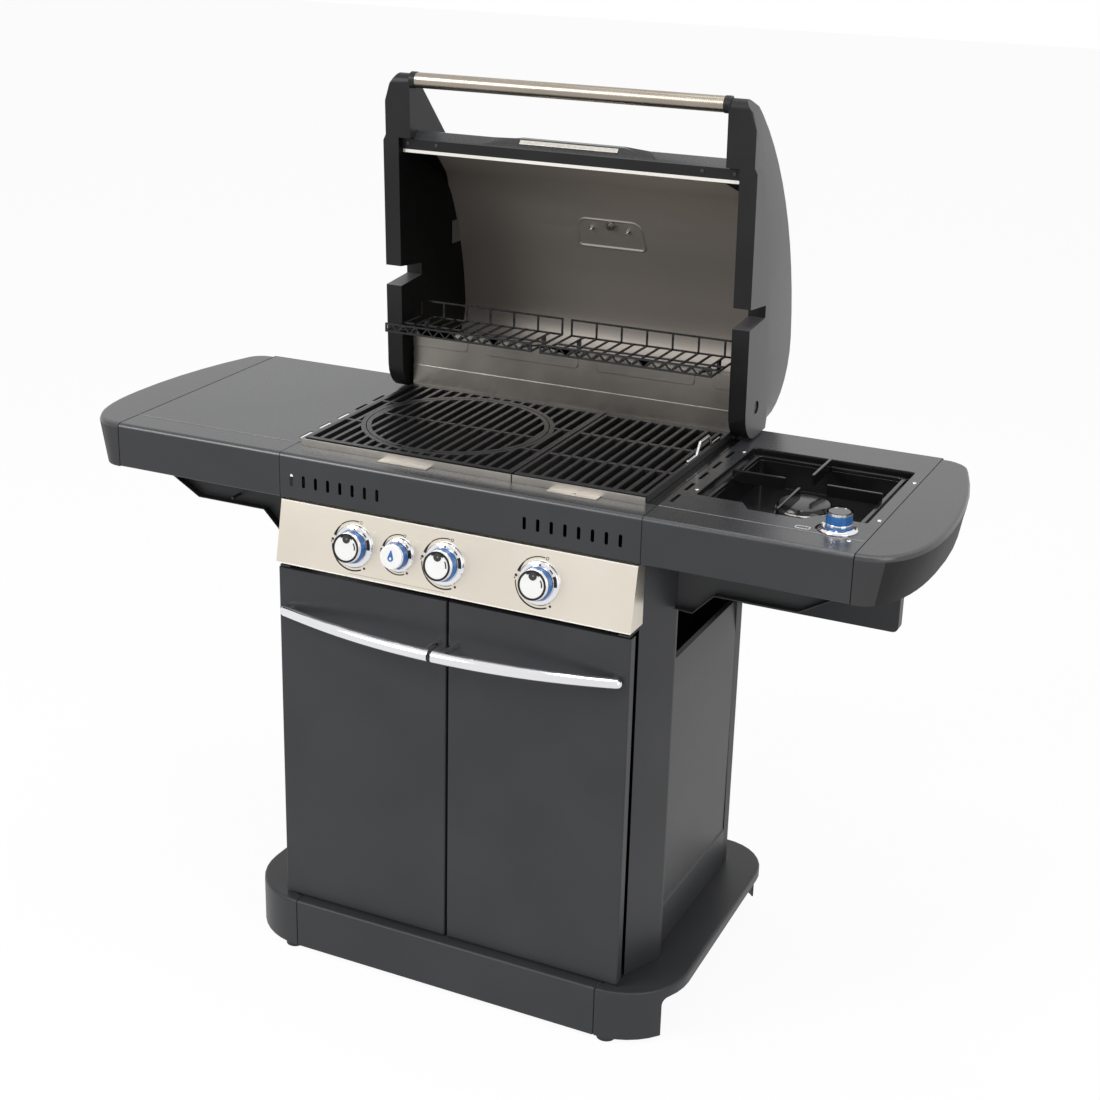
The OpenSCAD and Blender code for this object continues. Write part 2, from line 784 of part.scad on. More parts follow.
// The pipe along the valves, its hose inlet at the left end and the feed to the side burner.
module gas_manifold() {
    end_x = beam_x0 - 10;
    color(brass) from_front() {
        rod([knob_x1 - 30, pipe_y, pipe_z], [end_x, pipe_y, pipe_z], pipe_r, $fn = round_fn);
        translate([knob_x1 - 44, pipe_y, pipe_z]) rotate([0, 90, 0]) cylinder(h = 15, r = 13, $fn = 6);
        rod([knob_x1 - 60, pipe_y, pipe_z], [knob_x1 - 43, pipe_y, pipe_z], 6, $fn = 32);
        for (i = [0:3]) valve(i);
        rod([end_x - 6, pipe_y, pipe_z], [end_x - 6, pipe_y, feed_z], feed_r, $fn = 32);
        rod([end_x - 7 - feed_r, pipe_y, feed_z], [side_knob_x, pipe_y, feed_z], feed_r, $fn = 32);
        rod([side_knob_x, pipe_y - feed_r - 1, feed_z], [side_knob_x, side_knob_y - valve_r, feed_z], feed_r, $fn = 32);
    }
}

// ---- Fire box -----------------------------------------------------------------------

function rectangle(x, y0, y1) = [[-x, y0], [x, y0], [x, y1], [-x, y1]];

module funnel(d, bottom_z, top_z) {
    loft([
        at_z(rectangle(drain[0] - d, drain_y - drain[1] + d, drain_y + drain[1] - d), bottom_z),
        at_z(rectangle(box_x - d, box_y0 + d, box_y1 - d), top_z)]);
}

// The fire box: rim, straight walls, ledges for the heat tents and burners, a sloping floor
// down to the drain, and the rails that carry the grease tray.
module firebox() {
    x = box_x - sheet;
    color(cast_black) from_front() {
        difference() {
            union() {
                box([-box_x, box_y0, box_z], [box_x, box_y1, work_z]);
                box([half_seam - mid_x, rim_y0, plate_z], [mid_x - half_seam, rim_y1, work_z]);
                funnel(0, hopper_z, box_z);
            }
            box([-x, box_y0 + sheet, box_z], [x, box_y1 - sheet, work_z + 1]);
            translate([0, 0, 0.01]) funnel(sheet, hopper_z - 0.02, box_z);
            for (i = [0:3]) rod([knob_x(i), box_y0 - 1, burner_z], [knob_x(i), box_y0 + 5, burner_z], 12, $fn = round_fn);
        }
        box([-x, box_y0 + sheet, ledge_z - sheet], [x, box_y0 + ledge_d, ledge_z]);
        box([-x, box_y1 - ledge_d, ledge_z - sheet], [x, box_y1 - sheet, ledge_z]);
        box([-x, box_y1 - 28, rest_z - sheet], [x, box_y1 - sheet, rest_z]);
        difference() {
            box([-rail_x - sheet, tray_y0 - 2, hopper_z - sheet], [rail_x + sheet, tray_y1, hopper_z]);
            box([sheet - drain[0], drain_y - drain[1] + sheet, hopper_z - 2],
                [drain[0] - sheet, drain_y + drain[1] - sheet, hopper_z + 1]);
        }
        both() along_y(tray_y0 - 2, tray_y1) polygon(folded([
            [rail_x + sheet, hopper_z - sheet], [rail_x + sheet, rail_z], [rail_x - 10, rail_z]], -sheet));
    }
}

// A shallow tray that slides out to the rear.
module grease_tray() {
    color(steel) from_front() difference() {
        union() {
            box([-tray_x, tray_y0, tray_z], [tray_x, tray_y1, tray_z + tray_h]);
            along_x(-60, 60) polygon(folded([
                [tray_y1 - 1, tray_z + tray_h], [tray_y1 + 14, tray_z + tray_h], [tray_y1 + 14, tray_z]], -sheet));
        }
        box([sheet - tray_x, tray_y0 + sheet, tray_z + sheet], [tray_x - sheet, tray_y1 - sheet, tray_z + tray_h + 1]);
    }
}

// Burner tubes with a narrower throat that reaches over the valve's jet.
module burner_tubes() {
    throat_r = 11;
    jet_r = 4;
    tube_y0 = box_y0 + 22;
    tube_y1 = box_y1 - 14;
    color(steel) from_front() for (i = [0:3]) difference() {
        union() {
            rod([knob_x(i), box_y0 - 14, burner_z], [knob_x(i), tube_y0 + 1, burner_z], throat_r, $fn = round_fn);
            rod([knob_x(i), tube_y0, burner_z], [knob_x(i), tube_y1, burner_z], burner_r, $fn = round_fn);
        }
        rod([knob_x(i), box_y0 - 15, burner_z], [knob_x(i), tube_y0 + 2, burner_z], throat_r - sheet, $fn = round_fn);
        rod([knob_x(i), tube_y0 + sheet, burner_z], [knob_x(i), tube_y1 - sheet, burner_z], burner_r - sheet, $fn = round_fn);
        for (y = [tube_y0 + 20:14:tube_y1 - 12])
            box([knob_x(i) - burner_r - 1, y, burner_z + burner_r * 0.4],
                [knob_x(i) + burner_r + 1, y + 2, burner_z + burner_r * 0.6]);
    }
}

// Folded roofs over the main burners, lying on the fire box's ledges.
module heat_tents() {
    half = 44;
    rise = 26;
    color(steel) from_front() for (i = [0, 2, 3])
        along_y(box_y0 + sheet + 1, box_y1 - sheet - 1) translate([knob_x(i), 0]) polygon(folded([
            [-half, ledge_z], [-half + 2, ledge_z], [0, ledge_z + rise], [half - 2, ledge_z], [half, ledge_z]], sheet));
}

// ---- Cooking surfaces -------------------------------------------------------------------

module bar_field(x0, x1) {
    for (x = [x0 + grate_bar / 2:grate_pitch:x1]) translate([x - grate_bar / 2, grate_y0]) square([grate_bar, grate_y1 - grate_y0]);
}

module grate_frame(x0, x1) {
    rail = 10;
    difference() {
        translate([x0, grate_y0]) square([x1 - x0, grate_y1 - grate_y0]);
        translate([x0 + grate_bar, grate_y0 + rail]) square([x1 - x0 - 2 * grate_bar, grate_y1 - grate_y0 - 2 * rail]);
    }
    for (t = [1 / 3, 2 / 3]) translate([x0, grate_y0 + (grate_y1 - grate_y0) * t - 3]) square([x1 - x0, 6]);
}

module grate_trims() {
    tab_y = 34;
    module trim(x0, x1, tab0, tab1) {
        box([x0, trim_y, work_z], [x1, trim_y + sheet, grate_z - 1]);
        box([x0, trim_y, work_z], [x1, grate_y0 - 1, work_z + sheet]);
        box([tab0, tab_y, work_z], [tab1, trim_y + 1, work_z + sheet]);
    }
    color(steel) from_front() {
        trim(-grate_x - 4, split_x, -155, -66);
        difference() {
            trim(split_x + 2, grate_x, 145, 230);
            translate([190, trim_y - 6, work_z - 1]) cylinder(h = 5, r = 2.5, $fn = 24);
        }
    }
}

// The left grate, with a round opening and a ledge for the insert.
module grate_left() {
    x1 = split_x - grate_gap;
    ring = 8;
    color(cast_black) from_front() {
        upward(work_z, grate_z) {
            difference() {
                union() {
                    grate_frame(-grate_x, x1);
                    bar_field(-grate_x, x1 - grate_bar);
                }
                translate([insert_x, insert_y]) circle(r = insert_r + grate_gap, $fn = 72);
            }
            difference() {
                translate([insert_x, insert_y]) circle(r = insert_r + grate_gap + ring, $fn = 72);
                translate([insert_x, insert_y]) circle(r = insert_r + grate_gap, $fn = 72);
                for (x = [-grate_x - 20, x1]) translate([x, 0]) square([20, top_d]);
                translate([-grate_x, 0]) square([x1 + grate_x, grate_y0]);
            }
        }
        upward(work_z, work_z + 4) difference() {
            translate([insert_x, insert_y]) circle(r = insert_r + grate_gap + 1, $fn = 72);
            translate([insert_x, insert_y]) circle(r = insert_r - 5, $fn = 72);
        }
    }
}

// The round insert, lifted out by its two finger notches.
module grate_round() {
    color(cast_black) from_front() upward(work_z + 4, grate_z) translate([insert_x, insert_y]) difference() {
        union() {
            difference() {
                circle(r = insert_r, $fn = 72);
                circle(r = insert_r - 8, $fn = 72);
            }
            intersection() {
                circle(r = insert_r - 4, $fn = 72);
                union() {
                    for (k = [-7:7]) translate([k * grate_pitch - grate_bar / 2, -insert_r]) square([grate_bar, 2 * insert_r]);
                    translate([-insert_r, -3]) square([2 * insert_r, 6]);
                }
            }
        }
        for (s = [-1, 1]) translate([s * 1.5 * grate_pitch, -insert_r + 3]) circle(r = 6, $fn = 24);
    }
}

module grate_right() {
    x0 = split_x + grate_gap;
    color(cast_black) from_front() upward(work_z, grate_z) {
        grate_frame(x0, grate_x);
        bar_field(x0, grate_x - grate_bar);
    }
}

// A low wire handle on the right grate's side bar.
module grate_handle() {
    thick = 4;
    rise = 18;
    lean = 14;
    foot = 40;
    x = grate_x - grate_bar / 2;
    y0 = 275;
    y1 = 340;
    line = [
        [y0 - foot, grate_z], [y0, grate_z], [y0 + lean, grate_z + rise], [y1 - lean, grate_z + rise],
        [y1, grate_z], [y1 + foot, grate_z]];
    color(chrome) from_front() along_x(x - thick / 2, x + thick / 2) polygon(folded(line, thick));
}

// The heat shield behind the grates: a plate with pressed panels, hemmed at the foot.
module rear_liner() {
    hem_z = work_z + 49;
    press_w = 180;
    press_gap = 34;
    color(steel) from_front() {
        box([-box_x, liner_y, work_z], [box_x, liner_y + sheet, liner_z]);
        box([-box_x, liner_y - sheet, work_z], [box_x, liner_y, hem_z]);
        along_y(liner_y - 1.2, liner_y) for (i = [-1, 0, 1]) translate([i * (press_w + press_gap) - 69, 0])
            intersection() {
                polygon(rounded(-press_w / 2, liner_z - 33, press_w / 2, liner_z - 6, 8));
                translate([-box_x - i * (press_w + press_gap) + 69, 0]) square([2 * box_x, 2 * liner_z]);
            }
        along_y(liner_y - 1.2, liner_y) polygon(rounded(box_x - 34, liner_z - 33, box_x - 2, liner_z - 6, 8));
    }
}

// One wire basket, hooked over the heat shield's top edge and braced against its face.
module rack(x0, x1) {
    y0 = 320;
    y1 = 450;
    fence = 13;
    back = 28;
    hook = 5;
    cells = round((x1 - x0) / 12);
    cell = (x1 - x0 - wire) / cells;
    upward(rack_z - wire / 2, rack_z + wire / 2) {
        difference() {
            translate([x0, y0]) square([x1 - x0, y1 - y0]);
            translate([x0 + wire, y0 + wire]) square([x1 - x0 - 2 * wire, y1 - y0 - 2 * wire]);
        }
        for (i = [1:cells / 2 - 1]) translate([x0 + 2 * i * cell, y0]) square([wire, y1 - y0]);
        translate([x0, (y0 + y1) / 2]) square([x1 - x0, wire]);
    }
    along_y(y0, y0 + wire) {
        translate([x0, rack_z + fence - wire / 2]) square([x1 - x0, wire]);
        for (i = [0:cells - 1]) let (a = i % 2 == 0 ? 0 : fence, b = fence - a)
            polygon([
                [x0 + i * cell, rack_z + a], [x0 + i * cell + wire, rack_z + a],
                [x0 + (i + 1) * cell + wire, rack_z + b], [x0 + (i + 1) * cell, rack_z + b]]);
        for (x = [x0, x1 - wire]) translate([x, rack_z]) square([wire, fence]);
    }
    along_y(y1 - wire, y1) {
        translate([x0, rack_z + back - wire / 2]) square([x1 - x0, wire]);
        for (i = [0:cells / 4]) translate([x0 + min(4 * i * cell, x1 - x0 - wire), rack_z]) square([wire, back]);
        translate([x1 - wire, rack_z]) square([wire, back]);
    }
    for (x = [x0 + 24, x1 - 28]) {
        along_x(x, x + 4) difference() {
            translate([liner_y - 5, liner_z - hook]) square([sheet + 10, rack_z - liner_z + hook]);
            translate([liner_y - seat_gap, liner_z - hook - 1]) square([sheet + 2 * seat_gap, hook + 1]);
        }
        along_x(x, x + 4) polygon(folded([[y0 + 16, rack_z], [liner_y - 3, liner_z]], wire));
    }
}

module warming_racks() {
    x = box_x - 1;
    gap = 15;
    color(cast_black) from_front() {
        rack(-x, -20);
        rack(gap - 20, x);
    }
}

module rear_deck() {
    x = mid_x - half_seam;
    line = [[rim_y1 + half_seam, work_z], [top_d, work_z], [top_d, apron_z], [top_d - 15, apron_z]];
    color(graphite) from_front() along_x(-x, x) polygon(folded(line, -sheet));
}

// ---- Lid ----------------------------------------------------------------------------------

// The lid's side outline: rim, hinge corner, back, long curve and the tip that holds the handle.
function lid_side() = concat(
    [[hinge_y, rim_z]], arc(hinge_y, hinge_z, lid_corner, -75, 0, 5),
    arc(rear_y, rear_z, lid_rear_round, 0, rear_angle, 7),
    arc(arc_y, arc_z, lid_arc, rear_angle, tip_angle, 12), arc(tip_y, tip_z, tip_r, tip_angle, 270, 5));

// The crease on the outer face of a side wall, with one point for each point above it.
function lid_crease() =
    let (n = 7 + 12 + 5 + 2, top = asin((rim_z - crease_z) / crease_r),
        a0 = acos((lid_back_y - crease_y) / crease_r), a1 = 180 - top)
    concat(
        [[hinge_y, rim_z]], arc(hinge_y, hinge_z, lid_corner, -75, 0, 5),
        arc(crease_y, crease_z, crease_r, a0, a1, n));

// The inner swelling of a side wall in front of the visor, straight from the tip to the visor's top.
function tower_side() =
    let (up = unit(visor_top() - [skin_y, visor_z]))
    concat(arc(tip_y, tip_z, tip_r, tip_angle, 270, 5), [
        [skin_y - seat_gap, rim_z], [skin_y - seat_gap, visor_z], visor_top() + seat_gap * left_of(up)]);

// A cast side wall: it carries the handle at its tip and turns on the hinge pin at its rear corner.
module lid_cap() {
    lean = 16;
    notch_y = hinge_y - 163;
    outer = lid_x + lid_wall;
    lid_opened() difference() {
        union() {
            loft([at_x(lid_side(), lid_x), at_x(lid_side(), outer - lean), at_x(lid_crease(), outer)]);
            along_x(tower_x, lid_x + 1) polygon(tower_side());
            rod([tower_x - 9, handle_y, handle_z], [tower_x + 1, handle_y, handle_z], lid_tube_r + 1, $fn = round_fn);
        }
        along_x(lid_x - 1, outer + 1) polygon([
            [notch_y - 18, rim_z - 1], [notch_y - 7, rim_z + 75], [notch_y + 14, rim_z + 75], [notch_y + 17.5, rim_z - 1]]);
        rod([lid_x - 1, hinge_y, hinge_z], [lid_x + lid_wall - 4, hinge_y, hinge_z], hinge_pin_r + running, $fn = round_fn);
        rod([outer - 3, hinge_y, hinge_z], [outer + 1, hinge_y, hinge_z], 11.5, $fn = round_fn);
        upward(rim_z - 1, hinge_z + lid_rise) polygon([
            [outer - 27, tip_y - tip_r - 1], [outer - 5, tip_y + 14], [outer - 5, skin_y - 4],
            [outer, skin_y + 6], [outer + 9, skin_y + 6], [outer + 9, tip_y - tip_r - 1]]);
    }
}

module lid_cap_left() {
    color(graphite) from_front() mirror([1, 0, 0]) lid_cap();
}

module lid_cap_right() {
    color(graphite) from_front() lid_cap();
}

// The outer sheet's line, from the front lip over the visor and the long curve to the back.
function visor_top() = [
    arc_y + (lid_arc - skin_inset) * cos(visor_angle), arc_z + (lid_arc - skin_inset) * sin(visor_angle)];
function skin_line() =
    let (foot = [skin_y + 3, lip_z], corner = [skin_y, visor_z], top = visor_top(), up = unit(top - corner),
        r = lid_arc - skin_inset)
    concat(
        [foot], bend(corner - [0, 12], corner, corner + 12 * up, 4),
        bend(top - 50 * up, top, [arc_y + r * cos(visor_angle - 5), arc_z + r * sin(visor_angle - 5)], 5),
        [for (i = [1:10]) let (a = visor_angle - 5 - (visor_angle - 5 - rear_angle) * i / 10)
            [arc_y + r * cos(a), arc_z + r * sin(a)]],
        [for (i = [1:7]) let (a = rear_angle * (1 - i / 7))
            [rear_y + (lid_rear_round - skin_inset) * cos(a), rear_z + (lid_rear_round - skin_inset) * sin(a)]],
        [[lid_back_y - skin_inset, skin_end_z]]);

// The outer sheet, with a raised brow along the front that frames a plain bright inlay.
module lid_skin() {
    x = lid_x - seat_gap;
    brow = 165;
    brow_top = 100;
    brow_out = 11;
    brow_z = lip_z + 6;
    inlay = 90;
    line = concat([[skin_y + 3 + liner_gap, lip_z]], skin_line());
    color(graphite) from_front() lid_opened() difference() {
        union() {
            along_x(-x, x) polygon(folded(line, -sheet));
            translate([0, skin_y + 3, 0]) rotate([90, 0, 0]) loft([
                at_z([[-brow, brow_z], [brow, brow_z], [brow - 20, brow_z + 30], [20 - brow, brow_z + 30]], 0),
                at_z([[-brow_top, brow_z], [brow_top, brow_z], [brow_top - 8, brow_z + 14],
                    [8 - brow_top, brow_z + 14]], 3 + brow_out)]);
        }
        box([-inlay, 0, brow_z + 3], [inlay, skin_y - brow_out + 4, brow_z + 10]);
        at_dial(lid_arc - 10) translate([0, 0, -5]) cylinder(h = 20, r = 6, $fn = 32);
    }
}

module at_dial(r) {
    translate([dial_x, arc_y + r * cos(dial_angle), arc_z + r * sin(dial_angle)])
        rotate([dial_angle - 90, 0, 0]) children();
}

// The inner sheet, with a pressed rim round the thermometer's nut and a closing flange at the back.
module lid_liner() {
    x = lid_x - seat_gap;
    raw = moved(skin_line(), -liner_gap);
    line = concat(
        [for (i = [0:len(raw) - 2]) raw[i]],
        [[lid_back_y - skin_inset - liner_gap, skin_end_z + 5], [lid_back_y - skin_inset - sheet, skin_end_z + 5]]);
    pad_r = lid_arc - skin_inset - liner_gap - sheet;
    color(steel) from_front() lid_opened() difference() {
        union() {
            along_x(-x, x) polygon(folded(line, -sheet));
            at_dial(pad_r) translate([0, 0, -2.5]) linear_extrude(3) hollow(concat(
                arc(50, -13, 6, -90, 0, 3), arc(42, 13, 6, 0, 90, 3), arc(-42, 13, 6, 90, 180, 3),
                arc(-50, -13, 6, 180, 270, 3)), 5);
        }
        at_dial(pad_r) translate([0, 0, -5]) cylinder(h = 20, r = 6, $fn = 32);
    }
}

module lid_handle() {
    color(steel) from_front() lid_opened() difference() {
        rod([9 - tower_x, handle_y, handle_z], [tower_x - 9, handle_y, handle_z], lid_tube_r, $fn = round_fn);
        rod([9 + sheet - tower_x, handle_y, handle_z], [tower_x - 9 - sheet, handle_y, handle_z], lid_tube_r - sheet, $fn = round_fn);
    }
}

// Dial outside, stem through both sheets, nut inside.
module thermometer() {
    nut_r = lid_arc - skin_inset - liner_gap - sheet;
    color(steel) from_front() lid_opened() {
        at_dial(lid_arc - skin_inset + seat_gap) {
            cylinder(h = 10, r = dial_r, $fn = round_fn);
            cylinder(h = 14, r1 = dial_r - 2, r2 = dial_r - 5, $fn = round_fn);
        }
        at_dial(nut_r - 12) cylinder(h = lid_arc - skin_inset - nut_r + 13, r = 5, $fn = 32);
        at_dial(nut_r - 6) cylinder(h = 6 - seat_gap, r = 9, $fn = 6);
    }
}

// Upright brackets on the rear deck, each with the pin that the lid turns on.
module lid_hinges() {
    half = 11;
    pin_end = lid_x + lid_wall - 6;
    color(graphite) from_front() both() {
        along_x(bracket_x, lid_x - 2) {
            translate([hinge_y - half, work_z]) square([2 * half, hinge_rise]);
            translate([hinge_y, hinge_z]) circle(r = half, $fn = round_fn);
        }
        box([bracket_x - 10, hinge_y - half, work_z], [lid_x - 2, hinge_y + half, work_z + 3]);
        rod([bracket_x, hinge_y, hinge_z], [pin_end, hinge_y, hinge_z], hinge_pin_r, $fn = round_fn);
    }
}

// ---- Doors ---------------------------------------------------------------------------------

// A folded steel pan with bosses at its outer corners for the pivots.
module door() {
    plan = concat(
        [[door_x0, door_y1]], arc(door_x0 + door_round, door_y0 + door_round, door_round, 180, 270, 4),
        arc(door_x1 - door_round, door_y0 + door_round, door_round, 270, 360, 4), [[door_x1, door_y1]]);
    hem = 12;
    difference() {
        union() {
            difference() {
                upward(door_z0, door_z1) polygon(plan);
                box([door_x0 + sheet, door_y0 + sheet, door_z0 + sheet], [door_x1 - sheet, door_y1 - sheet, door_z1 - sheet]);
                box([door_x0 + hem, door_y1 - 3, door_z0 + hem], [door_x1 - hem, door_y1 + 1, door_z1 - hem]);
            }
            for (z = [door_z0, door_z1 - pivot_depth - 4])
                translate([pivot_x, pivot_y, z]) cylinder(h = pivot_depth + 4, r = boss_r, $fn = round_fn);
        }
        for (z = [door_z0 - 1, door_z1 - pivot_depth])
            translate([pivot_x, pivot_y, z]) cylinder(h = pivot_depth + 1, r = pivot_r + running, $fn = round_fn);
    }
}

module door_left() {
    color(graphite) from_front() mirror([1, 0, 0]) door();
}

module door_right() {
    color(graphite) from_front() door();
}

// Plates on the deck and on the columns, with the pins that the doors turn on.
module door_pivots() {
    plate = 2.5;
    x0 = pivot_x - 10;
    y0 = pivot_y - 8;
    top_z = door_z1 + door_play / 2;
    color(steel) from_front() both() {
        box([x0, y0, base_z], [column_x0 + 3, column_y0 - 1, base_z + plate]);
        translate([pivot_x, pivot_y, base_z]) cylinder(h = pivot_depth, r = pivot_r, $fn = round_fn);
        translate([pivot_x, pivot_y, base_z]) cylinder(h = door_play - seat_gap, r = pivot_r + 3, $fn = round_fn);
        box([x0, y0, top_z], [column_x0, column_y0 + 20, top_z + plate]);
        translate([pivot_x, pivot_y, top_z - pivot_depth + 3]) cylinder(h = pivot_depth, r = pivot_r, $fn = round_fn);
    }
}

// Half of the bowed handle, a little thicker at the meeting of the doors, with a blunt round
// end and a short return where it lands on the door.
module door_handle() {
    x0 = door_x0 + 1.5;
    x1 = door_x1 - 17;
    z = door_z1 - 73;
    land_y = door_y0 - bow_end_r - seat_gap;
    steps = 12;
    post_r = 6;
    post_x = door_x0 + 14;
    return_x = x1 - post_r;
    function along(t) = unit([1, 2 * bow_reach * t / (x1 - x0)]);
    function middle(t) = [x0 + (x1 - x0) * t, land_y - bow_reach * (1 - t * t)];
    function ring(c, v, r) =
        [for (k = [0:15]) let (q = c + r * cos(22.5 * k) * left_of(v)) [q[0], q[1], z + r * sin(22.5 * k)]];
    loft(concat(
        [for (i = [0:steps]) let (t = i / steps) ring(middle(t), along(t), bow_r + (bow_end_r - bow_r) * t * t)],
        [for (a = [30, 55, 75]) ring(middle(1) + bow_end_r * sin(a) * along(1), along(1), bow_end_r * cos(a))]));
    rod([post_x, door_y0, z], [post_x, land_y - bow_reach + 2, z], post_r, $fn = 32);
    rod([return_x, door_y0, z], [return_x, land_y, z], post_r, $fn = 32);
}

module door_handle_left() {
    color(chrome) from_front() mirror([1, 0, 0]) door_handle();
}

module door_handle_right() {
    color(chrome) from_front() door_handle();
}

// ---- Side burner ---------------------------------------------------------------------------

// The pan under the opening: a flange under the plate, a stepped rim and a flat floor.
module burner_well() {
    module tray(d, z0, z1) {
        upward(z0, z1) polygon(rounded(well_x0 + d, well_front + d, well_x1 - d, well_y1 - d, 8));
    }
    color(cast_black) from_front() difference() {
        union() {
            upward(plate_z - sheet, plate_z) polygon(rounded(well_x0 - 8, well_front - 4, well_x1 + 8, well_y1 + 8, 8));
            tray(-sheet, step_z, plate_z);
            tray(step_in - sheet, well_z, step_z + 1);
        }
        tray(0, step_z + sheet, plate_z + 1);
        tray(step_in, well_z + sheet, plate_z + 1);
        translate([burner_x, side_burner_y, well_z - 1]) cylinder(h = 4, r = 14, $fn = round_fn);
    }
}

// Burner head with its ring of ports, throat, mixing tube and valve.
module side_burner() {
    ports = 36;
    tube_z = well_z - 10;
    tube_r = 8;
    head_z = well_z + sheet;
    color(steel) from_front() difference() {
        union() {
            translate([burner_x, side_burner_y, 0]) {
                translate([0, 0, tube_z - tube_r - 2]) cylinder(h = head_z - tube_z + tube_r + 10, r = 12, $fn = round_fn);
                translate([0, 0, head_z]) cylinder(h = 8, r1 = 20, r2 = burner_head_r, $fn = round_fn);
                upward(head_z + 8, head_z + 18) polygon([for (i = [0:4 * ports - 1])
                    let (a = 90 * i / ports, r = burner_head_r - (i % 4 < 2 ? 1 : 5)) [r * cos(a), r * sin(a)]]);
                translate([0, 0, head_z + 18]) cylinder(h = 6, r1 = burner_head_r, r2 = burner_head_r - 8, $fn = round_fn);
            }
            rod([burner_x, side_burner_y, tube_z], [side_knob_x, side_knob_y, tube_z], tube_r, $fn = 32);
            translate([side_knob_x, side_knob_y, tube_z - tube_r - 2])
                cylinder(h = side_valve_z + 22 - tube_z + tube_r, r = valve_r, $fn = round_fn);
            translate([side_knob_x, side_knob_y, side_valve_z]) cylinder(h = plate_z - side_valve_z, r = 9, $fn = round_fn);
        }
        translate([side_knob_x, side_knob_y, work_z - spindle_in - knob_travel - 3])
            cylinder(h = spindle_in + knob_travel + 4, r = spindle_r + running, $fn = round_fn);
    }
}

// A frame on the well's step, with fingers that reach in over the burner.
module pan_support() {
    z = step_z + sheet;
    d = step_in - 8;
    finger = 5;
    reach = 34;
    top = work_z + 6;
    x0 = well_x0 + d;
    x1 = well_x1 - d;
    y0 = well_front + d;
    y1 = well_y1 - d;
    color(cast_black) from_front() {
        upward(z, z + 6) difference() {
            polygon(rounded(x0, y0, x1, y1, 8));
            polygon(rounded(x0 + 7, y0 + 7, x1 - 7, y1 - 7, 6));
        }
        for (s = [-1, 1]) {
            box([min(burner_x + s * reach, s > 0 ? x1 - 4 : x0 + 4), side_burner_y - finger / 2, z],
                [max(burner_x + s * reach, s > 0 ? x1 - 4 : x0 + 4), side_burner_y + finger / 2, top]);
            box([burner_x - finger / 2, s > 0 ? side_burner_y + reach : y0 + 4, z],
                [burner_x + finger / 2, s > 0 ? y1 - 4 : side_burner_y - reach, top]);
        }
    }
}

// The side burner's lift-off cover, hung behind the shelf by its rim on two pegs.
cover_pegs = [cover_x1 - 60, cover_x1 - cover_w + 60];

module side_cover() {
    z0 = cover_z1 - cover_w;
    x0 = cover_x1 - cover_w;
    lip = 10;
    color(graphite) from_front() difference() {
        union() {
            along_y(cover_y0, cover_y0 + cover_d) polygon(rounded(x0, z0, cover_x1, cover_z1, 10));
            for (x = cover_pegs) rod([x, top_d - sheet, cover_z1 - 6], [x, cover_y0 + 1, cover_z1 - 6], peg_r - running, $fn = 32);
        }
        along_y(cover_y0 + sheet, cover_y0 + cover_d + 1)
            polygon(rounded(x0 + sheet, z0 + sheet, cover_x1 - sheet, cover_z1 - lip, 8));
    }
}

// ---- The whole grill -------------------------------------------------------------------------

base_side_left();
base_side_right();
base_beams();
feet();
cabinet_floor();
front_columns();
rear_columns();
side_panels();
rear_braces();
side_beams();
apron_middle();
apron_left();
apron_right();
shelf_plate_left();
shelf_plate_right();
end_cap_left();
end_cap_right();
shelf_rails();
shelf_brackets();
control_panel();
knob_bezels();
gas_manifold();
firebox();
rear_deck();
rear_liner();
grate_trims();
grate_left();
grate_round();
grate_right();
grate_handle();
burner_tubes();
heat_tents();
warming_racks();
burner_well();
side_burner();
pan_support();
side_cover();
lid_hinges();
door_pivots();
grease_tray();
lid_cap_left();
lid_cap_right();
lid_skin();
lid_liner();
lid_handle();
thermometer();
door_left();
door_right();
door_handle_left();
door_handle_right();
for (i = [0:3]) burner_knob(i);
for (i = [0:3]) burner_spindle(i);
side_knob();
side_spindle();
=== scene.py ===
import json
from math import atan2, cos, degrees, hypot, pi, radians, sin

import bpy
from mathutils import Matrix, Vector


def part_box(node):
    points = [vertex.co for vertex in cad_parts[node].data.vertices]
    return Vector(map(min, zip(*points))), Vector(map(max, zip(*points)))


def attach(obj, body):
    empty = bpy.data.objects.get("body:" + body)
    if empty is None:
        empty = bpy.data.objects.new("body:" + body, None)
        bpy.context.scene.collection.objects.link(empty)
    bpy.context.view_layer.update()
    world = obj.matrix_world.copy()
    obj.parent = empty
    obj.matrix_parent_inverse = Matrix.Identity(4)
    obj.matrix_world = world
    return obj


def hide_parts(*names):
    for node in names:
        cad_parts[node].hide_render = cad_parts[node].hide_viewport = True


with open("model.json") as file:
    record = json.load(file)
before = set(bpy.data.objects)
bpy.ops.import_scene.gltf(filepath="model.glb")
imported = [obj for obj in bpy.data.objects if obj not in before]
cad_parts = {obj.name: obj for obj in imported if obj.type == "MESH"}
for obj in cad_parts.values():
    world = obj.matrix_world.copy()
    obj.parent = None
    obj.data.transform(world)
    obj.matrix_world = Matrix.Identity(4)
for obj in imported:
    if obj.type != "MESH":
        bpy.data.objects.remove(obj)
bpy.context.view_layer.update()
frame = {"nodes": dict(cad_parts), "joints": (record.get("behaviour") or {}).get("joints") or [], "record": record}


# ---- Base: two rounded ends and two channels between them ------------------------------------
# Pressed steel with a baked graphite enamel, screwed together under the cabinet. The enamel
# has a faint orange peel, and the joints between the pressings show as narrow black seams.
body_with = {node: body for body, nodes in frame["record"]["behaviour"]["bodies"].items()
             for node in nodes}


